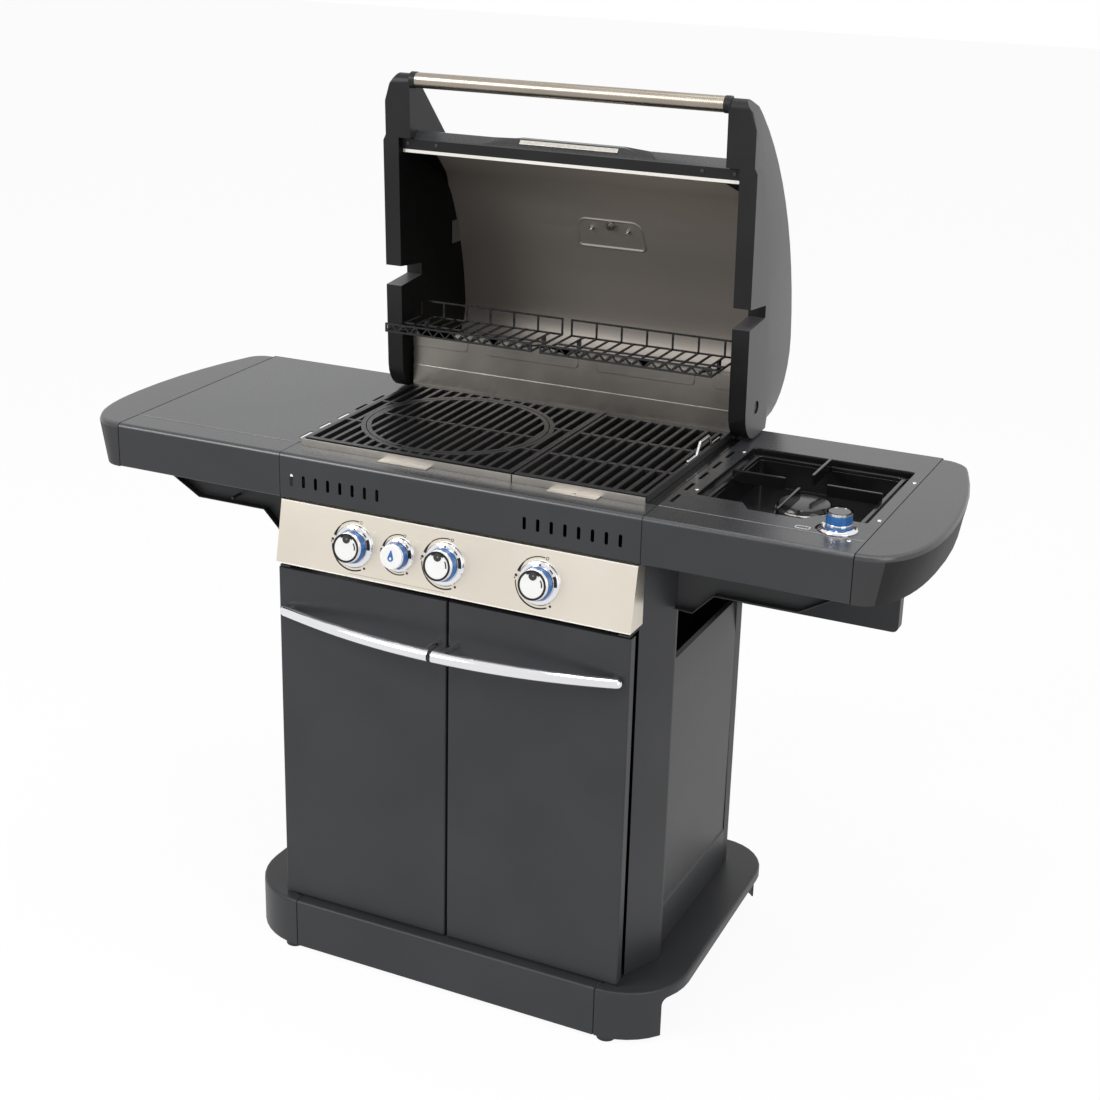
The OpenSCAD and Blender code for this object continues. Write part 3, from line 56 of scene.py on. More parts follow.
def noise(nodes, links, scale, detail, stretch=(1, 1, 1)):
    """A noise pattern on Object coordinates, stretched along the piece's own axes."""
    place = nodes.new("ShaderNodeTexCoord")
    mapping = nodes.new("ShaderNodeMapping")
    mapping.inputs["Scale"].default_value = stretch
    pattern = nodes.new("ShaderNodeTexNoise")
    pattern.inputs["Scale"].default_value = scale
    pattern.inputs["Detail"].default_value = detail
    links.new(place.outputs["Object"], mapping.inputs["Vector"])
    links.new(mapping.outputs["Vector"], pattern.inputs["Vector"])
    return pattern.outputs["Fac"]


def ramp(nodes, links, source, low, high, start=0.35, end=0.65):
    """Turns a pattern into a blend from the colour low to the colour high."""
    blend = nodes.new("ShaderNodeValToRGB")
    blend.color_ramp.elements[0].position = start
    blend.color_ramp.elements[0].color = (*low, 1)
    blend.color_ramp.elements[1].position = end
    blend.color_ramp.elements[1].color = (*high, 1)
    links.new(source, blend.inputs["Fac"])
    return blend.outputs["Color"]


def finish_of(name, low, high, rough, metal=0.0, mottle=6.0, grain=900.0, depth=0.02,
              stretch=(1, 1, 1), coat=0.0, anisotropy=0.0, shine=0.5):
    """A finish whose colour drifts between low and high, with a fine grain in gloss and bump."""
    made = bpy.data.materials.new(name)
    made.use_nodes = True
    nodes, links = made.node_tree.nodes, made.node_tree.links
    shader = nodes["Principled BSDF"]
    shader.inputs["Metallic"].default_value = metal
    shader.inputs["Coat Weight"].default_value = coat
    shader.inputs["Anisotropic"].default_value = anisotropy
    shader.inputs["Specular IOR Level"].default_value = shine
    drift = noise(nodes, links, mottle, 3)
    links.new(ramp(nodes, links, drift, low, high), shader.inputs["Base Color"])
    fine = noise(nodes, links, grain, 2, stretch)
    gloss = ramp(nodes, links, fine, (rough[0],) * 3, (rough[1],) * 3)
    links.new(gloss, shader.inputs["Roughness"])
    bump = nodes.new("ShaderNodeBump")
    bump.inputs["Strength"].default_value = depth
    bump.inputs["Distance"].default_value = 0.001
    links.new(fine, bump.inputs["Height"])
    links.new(bump.outputs["Normal"], shader.inputs["Normal"])
    return made


def paint(piece, material):
    piece.data.materials.clear()
    piece.data.materials.append(material)


def deselect():
    if bpy.context.object and bpy.context.object.mode != "OBJECT":
        bpy.ops.object.mode_set(mode="OBJECT")
    bpy.ops.object.select_all(action="DESELECT")


def pick(piece):
    deselect()
    piece.select_set(True)
    bpy.context.view_layer.objects.active = piece


def copy_of(piece):
    """A copy of a piece, with a mesh of its own and tied to nothing."""
    pick(piece)
    bpy.ops.object.duplicate()
    copy = bpy.context.object
    copy.parent = None
    return copy


def round_edges(piece, radius, segments):
    """Rounds the sharp edges of a piece and shades it smoothly in between."""
    pick(piece)
    edge = piece.modifiers.new("edge", "BEVEL")
    edge.width = radius
    edge.segments = segments
    edge.limit_method = "ANGLE"
    edge.angle_limit = radians(32)
    bpy.ops.object.modifier_apply(modifier="edge")
    bpy.ops.object.shade_smooth_by_angle(angle=radians(28))
    level = piece.modifiers.new("level", "WEIGHTED_NORMAL")
    level.keep_sharp = True
    bpy.ops.object.modifier_apply(modifier="level")


def soften(node, piece_name, material, radius, segments=2, flat=0.6, reshape=None):
    """The node's own shape, with its points moved by reshape and its edges rounded by radius."""
    piece = copy_of(frame["nodes"][node])
    piece.name = piece.data.name = piece_name
    bpy.ops.object.mode_set(mode="EDIT")
    bpy.ops.mesh.select_all(action="SELECT")
    bpy.ops.mesh.remove_doubles(threshold=0.00001)
    if flat:
        bpy.ops.mesh.dissolve_limited(angle_limit=radians(flat))
    bpy.ops.object.mode_set(mode="OBJECT")
    if reshape:
        for vertex in piece.data.vertices:
            reshape(vertex.co)
    round_edges(piece, radius, segments)
    paint(piece, material)
    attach(piece, body_with[node])
    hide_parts(node)
    return piece


def settle(piece, name, body):
    """Names a new piece and ties it to the body it belongs to."""
    piece.name = piece.data.name = name
    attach(piece, body)
    return piece


def bead(name, lines, radius, material):
    """Thin round beads along the given lines on the fixed enamelled sheets, for seams and painted highlights."""
    deselect()
    bpy.ops.curve.primitive_bezier_curve_add(location=(0, 0, 0))
    drawn = bpy.context.object.data
    drawn.splines.clear()
    drawn.dimensions = "3D"
    drawn.bevel_depth = radius
    drawn.bevel_resolution = 1
    for line in lines:
        spline = drawn.splines.new("POLY")
        spline.points.add(len(line) - 1)
        for point, spot in zip(spline.points, line):
            point.co = (*spot, 1)
    bpy.ops.object.convert(target="MESH")
    bpy.ops.object.shade_smooth()
    paint(bpy.context.object, material)
    return settle(bpy.context.object, name, "frame")


graphite = finish_of("graphite enamel", (0.028, 0.029, 0.031), (0.033, 0.034, 0.037),
                     (0.38, 0.46), shine=0.3)
for node in ("base_side_left", "base_side_right", "base_beams"):
    soften(node, node + "_enamelled", graphite, 0.0012)
black_seal = finish_of("black in the seams", (0.003, 0.003, 0.003), (0.005, 0.005, 0.005),
                       (0.6, 0.7), shine=0.1)
seam_r = 0.0008
half_gap = 0.0005
(_, base_front, base_foot), (channel_end, base_back, base_top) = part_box("base_beams")


def up_the_channel(x, face, inward):
    """A line up a channel's face at x and over its rounded upper edge onto the deck."""
    return [(x, face + 0.0009 * inward, base_foot + 0.002),
            (x, face + 0.0009 * inward, base_top - 0.006),
            (x, face + 0.0030 * inward, base_top - 0.0023),
            (x, face + 0.0055 * inward, base_top - 0.0010)]


base_seam_x = channel_end + half_gap
bead("base_seams", [up_the_channel(x, face, inward) for x in (-base_seam_x, base_seam_x)
                    for face, inward in ((base_front, 1), (base_back, -1))], seam_r, black_seal)


# ---- Feet ------------------------------------------------------------------------------------
# Low pads of black rubber on short stems, pushed up into the base from below. They keep the
# base just clear of the ground.
def keep_node(node, material):
    """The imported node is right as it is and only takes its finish."""
    paint(frame["nodes"][node], material)


rubber = finish_of("black rubber", (0.012, 0.012, 0.012), (0.02, 0.02, 0.02), (0.6, 0.75),
                   grain=400, depth=0.1)
keep_node("feet", rubber)


# ---- Cabinet frame and side walls ------------------------------------------------------------
# Folded columns, creased side panels, a ribbed back sheet and beams, in graphite enamel
# outside and a duller black on the rear columns.
dull_black = finish_of("dull black enamel", (0.016, 0.016, 0.017), (0.021, 0.021, 0.023),
                       (0.5, 0.6))
fold_r = 0.0008
for node in ("front_columns", "side_panels", "shelf_brackets"):
    soften(node, node + "_enamelled", graphite, fold_r)
# The rear columns are coloured darker than the side panels that sit flush beside them.
soften("rear_columns", "rear_columns_enamelled", dull_black, fold_r)
for node in ("cabinet_floor", "rear_braces", "side_beams", "shelf_rails"):
    keep_node(node, graphite)


# ---- Aprons, shelf plates and end caps -------------------------------------------------------
# Folded steel sheets closed off by moulded caps, with a black seam a millimetre wide between them.
# A painted highlight, a thin bright bead, lies where the shelf plates fold into their aprons.
def tint(piece, material, belongs):
    """A second finish on the faces of the piece for which belongs(centre, normal) holds."""
    piece.data.materials.append(material)
    for face in piece.data.polygons:
        if belongs(face.center, face.normal):
            face.material_index = len(piece.data.materials) - 1


graphite_top = finish_of("graphite enamel on the work top", (0.028, 0.029, 0.031),
                         (0.034, 0.035, 0.038), (0.24, 0.32), shine=0.6)
for node in ("apron_middle", "apron_left", "apron_right"):
    apron = soften(node, node + "_enamelled", graphite, 0.0004)
    tint(apron, graphite_top, lambda centre, normal: normal.z > 0.2)
for node in ("shelf_plate_left", "shelf_plate_right", "rear_deck"):
    soften(node, node + "_enamelled", graphite_top, 0.0006)
cap_top = finish_of("graphite on the end caps", (0.029, 0.029, 0.032), (0.034, 0.034, 0.037),
                    (0.26, 0.34), shine=0.6)
cap_front = finish_of("satin graphite on the caps' fronts", (0.026, 0.026, 0.028),
                      (0.032, 0.032, 0.034), (0.42, 0.5), shine=0.3)
# Painted shade: the caps' sides take a darker copy of their graphite.
cap_side_shade = finish_of("graphite with painted shade on the caps' sides", (0.014, 0.014, 0.015),
                     (0.019, 0.019, 0.020), (0.5, 0.6), shine=0.15)
for node in ("end_cap_left", "end_cap_right"):
    cap = soften(node, node + "_moulded", cap_top, 0.0012)
    tint(cap, cap_front, lambda centre, normal: normal.z < 0.3)
    tint(cap, cap_side_shade, lambda centre, normal: normal.z < 0.3 and abs(normal.x) > 0.62)
(apron_in, front_y, apron_foot), (apron_out, fold_y, top_z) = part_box("apron_right")
back_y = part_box("rear_deck")[1].y
middle_seam_x, cap_seam_x = apron_in - half_gap, apron_out + half_gap
apron_r = 0.008


def over_the_front(x, lift):
    """A line up the apron's front at x, over its rounded edge and back along the work top."""
    turn = [(x, front_y + apron_r - (apron_r + lift) * cos(radians(a)),
             top_z - apron_r + (apron_r + lift) * sin(radians(a))) for a in range(0, 91, 15)]
    return [(x, front_y - lift, apron_foot + 0.001), *turn, (x, back_y - 0.002, top_z + lift)]


bead("shelf_seams", [over_the_front(x, -seam_r) for x in (-cap_seam_x, cap_seam_x)],
     0.0012, black_seal)
bead("middle_seams", [over_the_front(x, -0.0006)[:-1] for x in (-middle_seam_x, middle_seam_x)],
     seam_r, black_seal)
bead("rear_seams", [[(x, back_y - seam_r, apron_foot + 0.002), (x, back_y - seam_r, top_z - 0.002)]
                    for x in (-cap_seam_x, -middle_seam_x, middle_seam_x, cap_seam_x)],
     seam_r, black_seal)
# Painted highlight: a thin bright bead along the fold where each shelf plate meets its apron.
fold_highlight_paint = finish_of("painted highlight on the fold", (0.20, 0.20, 0.21), (0.26, 0.26, 0.27), (0.3, 0.4),
                     metal=0.3)
highlight_in, highlight_out, highlight_z = apron_in + 0.0015, apron_out - half_gap, top_z + 0.0001
bead("fold_highlights", [[(start, fold_y, highlight_z), (end, fold_y, highlight_z)]
                    for start, end in ((-highlight_out, -highlight_in), (highlight_in, highlight_out))],
     0.0005, fold_highlight_paint)


# ---- Control panel ---------------------------------------------------------------------------
# A folded sheet of stainless steel, brushed from side to side and hemmed along its upper and
# lower edge. The gas scales round the knobs and the line under them are printed on.
brushed = finish_of("brushed stainless", (0.70, 0.645, 0.555), (0.76, 0.705, 0.610),
                    (0.30, 0.42), metal=1.0, mottle=3, grain=60, depth=0.05,
                    stretch=(0.5, 30, 30), anisotropy=0.4)
soften("control_panel", "control_panel_brushed", brushed, 0.0005)
ink = finish_of("black printing ink", (0.012, 0.012, 0.013), (0.018, 0.018, 0.019),
                (0.45, 0.55))
grey_ink = finish_of("grey printing ink", (0.20, 0.185, 0.16), (0.24, 0.22, 0.19),
                     (0.45, 0.55))
joint = {j["name"]: j for j in frame["joints"]}


def lay_flat(piece):
    """Puts the place, turn and size of a piece into its mesh."""
    pick(piece)
    bpy.ops.object.transform_apply(location=True, rotation=True, scale=True)


def place_on(piece, spot, up):
    """Moves a piece from the origin to spot, its z along up and its y pointing up the face."""
    out = Vector(up).normalized()
    across = Vector((1, 0, 0))
    turned = Matrix((across, out.cross(across), out)).transposed().to_4x4()
    piece.matrix_world = Matrix.Translation(spot) @ turned
    lay_flat(piece)


def clock(hour):
    """The angle of an hour on a clock face, in degrees from its three o'clock."""
    return 90 - 30 * hour


def at_hour(hour, radius):
    return radius * cos(radians(clock(hour))), radius * sin(radians(clock(hour)))


def arc_band(name, inner, outer, start, end, low, high, material):
    """A flat band of a ring, from the hour start anticlockwise to the hour end."""
    deselect()
    bpy.ops.mesh.primitive_cube_add(size=1, location=((inner + outer) / 2, 0, (low + high) / 2))
    piece = bpy.context.object
    piece.name = piece.data.name = name
    piece.scale = (outer - inner, 0.00001, high - low)
    lay_flat(piece)
    sweep = clock(end) - clock(start)
    for polygon in piece.data.polygons:
        polygon.select = polygon.normal.y > 0.9
    for vertex in piece.data.vertices:
        vertex.select = vertex.co.y > 0
    bpy.ops.object.mode_set(mode="EDIT")
    bpy.ops.mesh.select_mode(type="FACE")
    bpy.ops.mesh.spin(steps=max(3, int(abs(sweep) / 5)), angle=radians(-sweep),
                      center=(0, 0, 0), axis=(0, 0, 1))
    bpy.ops.mesh.select_all(action="SELECT")
    bpy.ops.mesh.remove_doubles(threshold=0.000002)
    bpy.ops.transform.rotate(value=radians(-clock(start)), orient_axis="Z",
                             center_override=(0, 0, 0))
    bpy.ops.mesh.normals_make_consistent(inside=False)
    bpy.ops.object.mode_set(mode="OBJECT")
    paint(piece, material)
    return piece


def disc(name, radius, low, high, material, spot=(0, 0), edge=0.0, sides=48, top=None):
    """A round plate with a bevelled top edge, narrowing to the radius top where given."""
    deselect()
    bpy.ops.mesh.primitive_cone_add(vertices=sides, radius1=radius,
                                    radius2=radius if top is None else top, depth=high - low,
                                    location=(spot[0], spot[1], (low + high) / 2))
    piece = bpy.context.object
    piece.name = piece.data.name = name
    lay_flat(piece)
    if edge:
        rim = piece.modifiers.new("rim", "BEVEL")
        rim.width = edge
        rim.segments = 3
        rim.angle_limit = radians(40)
        bpy.ops.object.modifier_apply(modifier="rim")
    bpy.ops.object.shade_smooth_by_angle(angle=radians(35))
    paint(piece, material)
    return piece


def join(name, pieces):
    deselect()
    for piece in pieces:
        piece.select_set(True)
    bpy.context.view_layer.objects.active = pieces[0]
    bpy.ops.object.join()
    made = bpy.context.object
    made.name = made.data.name = name
    return made


def strip(name, low, high, material, edge=0.0003):
    """A straight strip or plate between two corners, with its edges broken."""
    deselect()
    middle = [(a + b) / 2 for a, b in zip(low, high)]
    bpy.ops.mesh.primitive_cube_add(size=1, location=middle)
    piece = bpy.context.object
    piece.name = piece.data.name = name
    piece.scale = [b - a for a, b in zip(low, high)]
    lay_flat(piece)
    if edge:
        round_edges(piece, edge, 2)
    paint(piece, material)
    return piece


print_t = 0.0003
small_knob = 0.8


def gas_marks(size):
    """The printed scale round a knob: a ring at off, a flame on the left, a dot at the end."""
    outer = 0.0413 * size
    ring = arc_band("ring", 0.0017, 0.0026, 12, 0.01, 0, print_t, ink)
    ring.location = (*at_hour(0.45, outer), 0)
    lay_flat(ring)
    flame = arc_band("flame", 0.0372 * size, outer, 10.7, 9.6, 0, print_t, ink)
    for vertex in flame.data.vertices:
        reach = hypot(vertex.co.x, vertex.co.y)
        hour = (90 - degrees(atan2(vertex.co.y, vertex.co.x))) / 30 % 12
        if reach < outer - 0.001:
            taper = min(1, max(0, (10.7 - hour) / 0.9))
            wanted = outer - 0.0008 - 0.0036 * size * taper
            vertex.co.x *= wanted / reach
            vertex.co.y *= wanted / reach
    return [
        ring, flame,
        arc_band("low", 0.0393 * size, 0.0417 * size, 7.6, 5.2, 0, print_t, ink),
        arc_band("line", outer - 0.0010, outer + 0.0007, 0.26, -1.3, 0, print_t, ink),
        arc_band("thin", 0.0398 * size, 0.0414 * size, 8.9, 7.5, 0, print_t, ink),
        disc("low flame", 0.0024 * size, 0, print_t, ink, at_hour(9.25, 0.0408 * size), sides=20),
        disc("tip", 0.0012 * size, 0, print_t, ink, at_hour(9.05, 0.0425 * size), sides=16),
        disc("end", 0.0021, 0, print_t, ink, at_hour(4.88, 0.0404 * size), sides=20),
    ]


size_of = {1: 1, 2: small_knob, 3: 1, 4: 1}
for k, size in size_of.items():
    turn = joint[f"dial_{k}_turn"]
    marks = join(f"gas_marks_{k}", gas_marks(size))
    place_on(marks, turn["pos_m"], turn["axis"])
    settle(marks, f"gas_marks_{k}", "frame")
middle_dial = joint["dial_2_turn"]
span = joint["dial_3_turn"]["pos_m"][0] - joint["dial_1_turn"]["pos_m"][0]
burner_line = strip("burner_line", (-span / 2 - 0.004, -0.0460, 0),
                    (span / 2 + 0.004, -0.0455, print_t), grey_ink, 0)
place_on(burner_line, middle_dial["pos_m"], middle_dial["axis"])
settle(burner_line, "burner_line", "frame")
bright_hem = finish_of("bright folded hem", (0.86, 0.84, 0.80), (0.92, 0.90, 0.86),
                       (0.2, 0.3), metal=0.5)
hem_x, hem_t = 0.3172, 0.0004
hems = join("panel_hems", [strip("hem", (-hem_x, low, 0), (hem_x, high, hem_t), bright_hem, 0)
                           for low, high in ((0.0534, 0.0548), (-0.0519, -0.0505))])
place_on(hems, (0, *middle_dial["pos_m"][1:]), middle_dial["axis"])
settle(hems, "panel_hems", "frame")


# ---- Knob bezels -----------------------------------------------------------------------------
# Chromed rings fixed round the knobs' openings, each with a black dot at the top and a black
# wedge printed on the right of its sloping rim.
chrome = finish_of("polished chrome", (0.74, 0.74, 0.76), (0.80, 0.80, 0.82), (0.05, 0.10),
                   metal=1.0, grain=60, depth=0.0)
soften("knob_bezels", "knob_bezels_chromed", chrome, 0.0004)
rim_z, rim_print_z = 0.0049, 0.0064
spots = [(joint[f"dial_{k}_turn"], size, f"bezel_marks_{k}") for k, size in size_of.items()]
spots.append((joint["side_dial_turn"], small_knob, "bezel_marks_side"))
for turn, size, name in spots:
    wedge = join("wedge", [
        arc_band("wide", 0.0275 * size, 0.0325 * size, 3.1, 2.0, rim_z, rim_print_z, ink),
        arc_band("narrow", 0.0290 * size, 0.0312 * size, 1.7, 1.2, rim_z, rim_print_z, ink),
        disc("dot", 0.0019 * size, rim_z, rim_print_z, ink, (0.0008, 0.0290 * size), sides=20)])
    for vertex in wedge.data.vertices:
        vertex.co.z -= max(0, hypot(vertex.co.x, vertex.co.y) - 0.0265 * size) * 0.22
    place_on(wedge, turn["pos_m"], turn["axis"])
    settle(wedge, name, "frame")


# ---- Knobs and spindles ----------------------------------------------------------------------
# Translucent blue grips with fine ribs, each with a pale satin face plate, a black ring and a
# black window at the top. The small knob has a plain blue flame, the side knob a black top.
blue = finish_of("blue translucent grip", (0.008, 0.100, 0.33), (0.013, 0.135, 0.42),
                 (0.16, 0.24), coat=0.3)
silver = finish_of("satin silver face", (0.74, 0.74, 0.73), (0.82, 0.82, 0.81), (0.3, 0.4),
                   metal=0.25, grain=500)
pale_rim = finish_of("bright face edge", (0.84, 0.84, 0.84), (0.90, 0.90, 0.90),
                     (0.14, 0.2), metal=0.35, grain=500)
gloss_black = finish_of("gloss black plastic", (0.010, 0.010, 0.011), (0.014, 0.014, 0.015),
                        (0.10, 0.16), coat=0.4)
brass = finish_of("brass", (0.50, 0.36, 0.15), (0.58, 0.42, 0.2), (0.28, 0.4), metal=1.0)
for k in size_of:
    keep_node(f"spindle_{k}", brass)
keep_node("side_spindle", brass)
knobs = [(f"knob_{k}", f"dial_{k}", joint[f"dial_{k}_turn"], size)
         for k, size in size_of.items()]
knobs.append(("side_knob", "side_dial", joint["side_dial_turn"], small_knob))
face_z, print_z = 0.0272, 0.0281
ribs, rib_depth = 96, 0.975


def grip(radius, top, low, high):
    """A ribbed collar: every other edge of a cone is drawn in."""
    collar = disc("collar", radius, low, high, blue, sides=ribs, top=top)
    for vertex in collar.data.vertices:
        if round(atan2(vertex.co.y, vertex.co.x) * ribs / 2 / pi) % 2:
            vertex.co.x *= rib_depth
            vertex.co.y *= rib_depth
    return collar


def flame_mark():
    """A drop of blue with a pale core, both drawn out to a point at the top."""
    drop = disc("flame", 0.0052, face_z, face_z + 0.0008, blue, (0, -0.0022), sides=40)
    core = disc("core", 0.0021, face_z, face_z + 0.0011, silver, (0, -0.0028), sides=24)
    shoulder = -0.001
    for form in (drop, core):
        for vertex in form.data.vertices:
            if vertex.co.y > shoulder:
                lift = (vertex.co.y - shoulder) / 0.004
                vertex.co.x *= 1 - 0.62 * min(1, lift)
                vertex.co.y = shoulder + (vertex.co.y - shoulder) * 3.1
    return [drop, core]


for node, body, turn, size in knobs:
    keep_node(node, blue)
    if node == "side_knob":
        parts = [
            disc("inset", 0.0208 * size, 0.0255, 0.0290, gloss_black, sides=64),
            arc_band("ring", 0.0206 * size, 0.0238 * size, 12, 0.01, 0.0255, 0.0296, chrome),
            disc("skirt", 0.0246 * size, 0.0046, 0.0125, chrome, edge=0.0012),
            grip(0.0246 * size, 0.0240 * size, 0.0120, 0.0262)]
    else:
        parts = [
            disc("plate", 0.0250 * size, 0.0205, face_z, pale_rim, edge=0.0006, sides=72,
                 top=0.0242 * size),
            disc("skirt", 0.0252 * size, 0.0046, 0.0106, chrome, edge=0.0008),
            grip(0.0276 * size, 0.0246 * size, 0.0104, 0.0206)]
    if node == "knob_2":
        parts.append(disc("middle", 0.0208 * size, face_z - 0.001, face_z + 0.0004, silver,
                          sides=64))
        parts += flame_mark()
    elif node != "side_knob":
        parts += [
            disc("middle", 0.0204, face_z - 0.001, face_z + 0.0003, silver, sides=64),
            arc_band("ring", 0.0204, 0.0238, 12, 0.01, face_z - 0.0006, print_z, ink),
            disc("window", 0.0069, face_z, face_z + 0.0010, ink, (0, 0.0147), sides=40),
            arc_band("crescent", 0.0180, 0.0206, 13.1, 10.9, face_z, print_z, ink),
            disc("light", 0.0014, face_z, face_z + 0.0013, grey_ink, (0.0008, 0.0150), sides=20),
            arc_band("tick", 0.0157, 0.0176, 3.1, 1.8, face_z, print_z, ink)]
    made = join(node + "_face", parts)
    place_on(made, turn["pos_m"], turn["axis"])
    settle(made, node + "_face", body)


# ---- Gas pipes, fire box, burners and heat tents ---------------------------------------------
# A brass manifold feeds four steel burner tubes in a black enamelled box, under folded steel
# roofs that shed the fat. What drips through is caught in a steel tray below.
enamel = finish_of("black vitreous enamel", (0.005, 0.005, 0.0055), (0.009, 0.009, 0.010),
                   (0.12, 0.20), grain=300, depth=0.04, shine=0.4)
tube_steel = finish_of("burner steel", (0.30, 0.28, 0.26), (0.42, 0.40, 0.37), (0.3, 0.45),
                       metal=1.0)
keep_node("gas_manifold", brass)
keep_node("firebox", enamel)
for node in ("burner_tubes", "heat_tents", "grease_tray"):
    keep_node(node, tube_steel)


# ---- Grates, trims and the wire handle -------------------------------------------------------
# Enamelled cast iron bars with eased edges on stainless trims, and a round insert that lifts
# out with a handle of bent chromed wire.
cast_iron = finish_of("cast iron", (0.010, 0.010, 0.011), (0.018, 0.018, 0.019), (0.30, 0.46),
                      grain=320, depth=0.35, shine=0.4)
for node in ("grate_left", "grate_round", "grate_right"):
    soften(node, node + "_cast", cast_iron, 0.0012)
trim_steel = finish_of("bare trim steel", (0.42, 0.40, 0.37), (0.52, 0.49, 0.45), (0.32, 0.44),
                       metal=1.0, mottle=9, grain=60, depth=0.05, stretch=(0.5, 30, 30),
                       anisotropy=0.4)
soften("grate_trims", "grate_trims_brushed", trim_steel, 0.0003)
soften("grate_handle", "grate_handle_wire", chrome, 0.0013, 3)


# ---- Heat shield and warming racks -----------------------------------------------------------
# A pressed stainless sheet behind the grates, smoked by the fire, and two welded wire baskets
# in black enamel hooked over it.
shield_steel = finish_of("smoked heat shield", (0.22, 0.205, 0.185), (0.34, 0.315, 0.285),
                         (0.30, 0.44), metal=1.0, mottle=7, grain=500)
soften("rear_liner", "rear_liner_pressed", shield_steel, 0.0008)
soften("warming_racks", "warming_racks_wire", enamel, 0.0009)


# ---- Lid -------------------------------------------------------------------------------------
# Two painted side castings carry an enamelled outer sheet, a bare inner sheet and a brushed tube.
# The inner sheet is hemmed under the visor, and its pressed pad takes the thermometer's nut. The
# places of what is fixed to the long curve are given by their angle on the closed lid.
lid_open = joint["lid_hinge"]["range_deg"][1]
hinge = Vector(joint["lid_hinge"]["pos_m"])
to_open = Matrix.Rotation(radians(-lid_open), 3, "X")
curve_back, curve_up, curve_r = -0.037, -0.363, 0.5545
dial_x, dial_angle = 0.004, 108.8


def on_lid(x, back, up):
    """A spot on the open lid, from its place on the closed lid behind and above the hinge."""
    return Vector((x, hinge.y, hinge.z)) + to_open @ Vector((0, back, up))


def on_sheet(x, angle, inward):
    """A spot at an angle round the lid's long curve, standing inward from the inner sheet."""
    reach, turned = curve_r - inward, radians(angle)
    return on_lid(x, curve_back + reach * cos(turned), curve_up + reach * sin(turned))


def sheet_place(spot):
    """The angle of a spot round the lid's long curve, and how far inward it stands."""
    local = to_open.transposed() @ (spot - Vector((0, hinge.y, hinge.z)))
    back, up = local.y - curve_back, local.z - curve_up
    return degrees(atan2(up, back)), curve_r - hypot(back, up)


def out_of_lid(angle):
    """The direction square to the lid's long curve at an angle."""
    return to_open @ Vector((0, cos(radians(angle)), sin(radians(angle))))


def fade(nodes, links, source, start, end, low, high, way="LINEAR"):
    """A value that goes from low to high while the source goes from start to end."""
    slope = nodes.new("ShaderNodeMapRange")
    slope.interpolation_type = way
    slope.inputs["From Min"].default_value = start
    slope.inputs["From Max"].default_value = end
    slope.inputs["To Min"].default_value = low
    slope.inputs["To Max"].default_value = high
    links.new(source, slope.inputs["Value"])
    return slope.outputs["Result"]


def paint_shade_and_reflection(material, dark, lit_tone, shade_share):
    """Painted shade near the hinge and at the left, painted reflection up the sheet and at the right."""
    nodes, links = material.node_tree.nodes, material.node_tree.links
    place = nodes.new("ShaderNodeTexCoord")
    split = nodes.new("ShaderNodeSeparateXYZ")
    links.new(place.outputs["Object"], split.inputs["Vector"])
    upwards = fade(nodes, links, split.outputs["Z"], 1.14, 1.34, 0.26, 0.62, "SMOOTHSTEP")
    across = fade(nodes, links, split.outputs["X"], -0.20, 0.30, 0.80, 1.75)
    both = nodes.new("ShaderNodeMath")
    both.operation = "MULTIPLY"
    links.new(upwards, both.inputs[0])
    links.new(across, both.inputs[1])
    # The blend from dark to lit is painted shade and a painted reflection on the inner sheet.
    smoked = nodes.new("ShaderNodeMix")
    smoked.data_type = "RGBA"
    smoked.inputs["A"].default_value = (*dark, 1)
    smoked.inputs["B"].default_value = (*lit_tone, 1)
    links.new(both.outputs["Value"], smoked.inputs["Factor"])
    shader = nodes["Principled BSDF"]
    shade_over_drift = nodes.new("ShaderNodeMix")
    shade_over_drift.data_type = "RGBA"
    shade_over_drift.inputs["Factor"].default_value = shade_share
    links.new(smoked.outputs["Result"], shade_over_drift.inputs["A"])
    links.new(shader.inputs["Base Color"].links[0].from_socket, shade_over_drift.inputs["B"])
    links.new(shade_over_drift.outputs["Result"], shader.inputs["Base Color"])


lid_paint = finish_of("graphite enamel on the lid", (0.034, 0.034, 0.037),
                      (0.040, 0.040, 0.043), (0.34, 0.42), shine=0.4)
# Painted shade: the lid's rim and the towers' upper faces that don't look outward take a darker copy of its
# graphite.
shaded_rim_paint = finish_of("graphite with painted shade on the lid's rim", (0.009, 0.009, 0.010),
                      (0.014, 0.014, 0.015), (0.34, 0.44), shine=0.22)
# Painted light: the outer sides of the lid's castings take a lighter copy of the same graphite.
lit_side_paint = finish_of("graphite with painted light on the lid's sides", (0.070, 0.067, 0.071),
                       (0.080, 0.077, 0.081), (0.38, 0.46), shine=0.35)
# Painted shade: the inner faces of the lid's castings are made near black.
painted_shade_black = finish_of("painted shade inside the lid's sides", (0.002, 0.002, 0.002),
                       (0.004, 0.004, 0.004), (0.5, 0.6), shine=0.1)
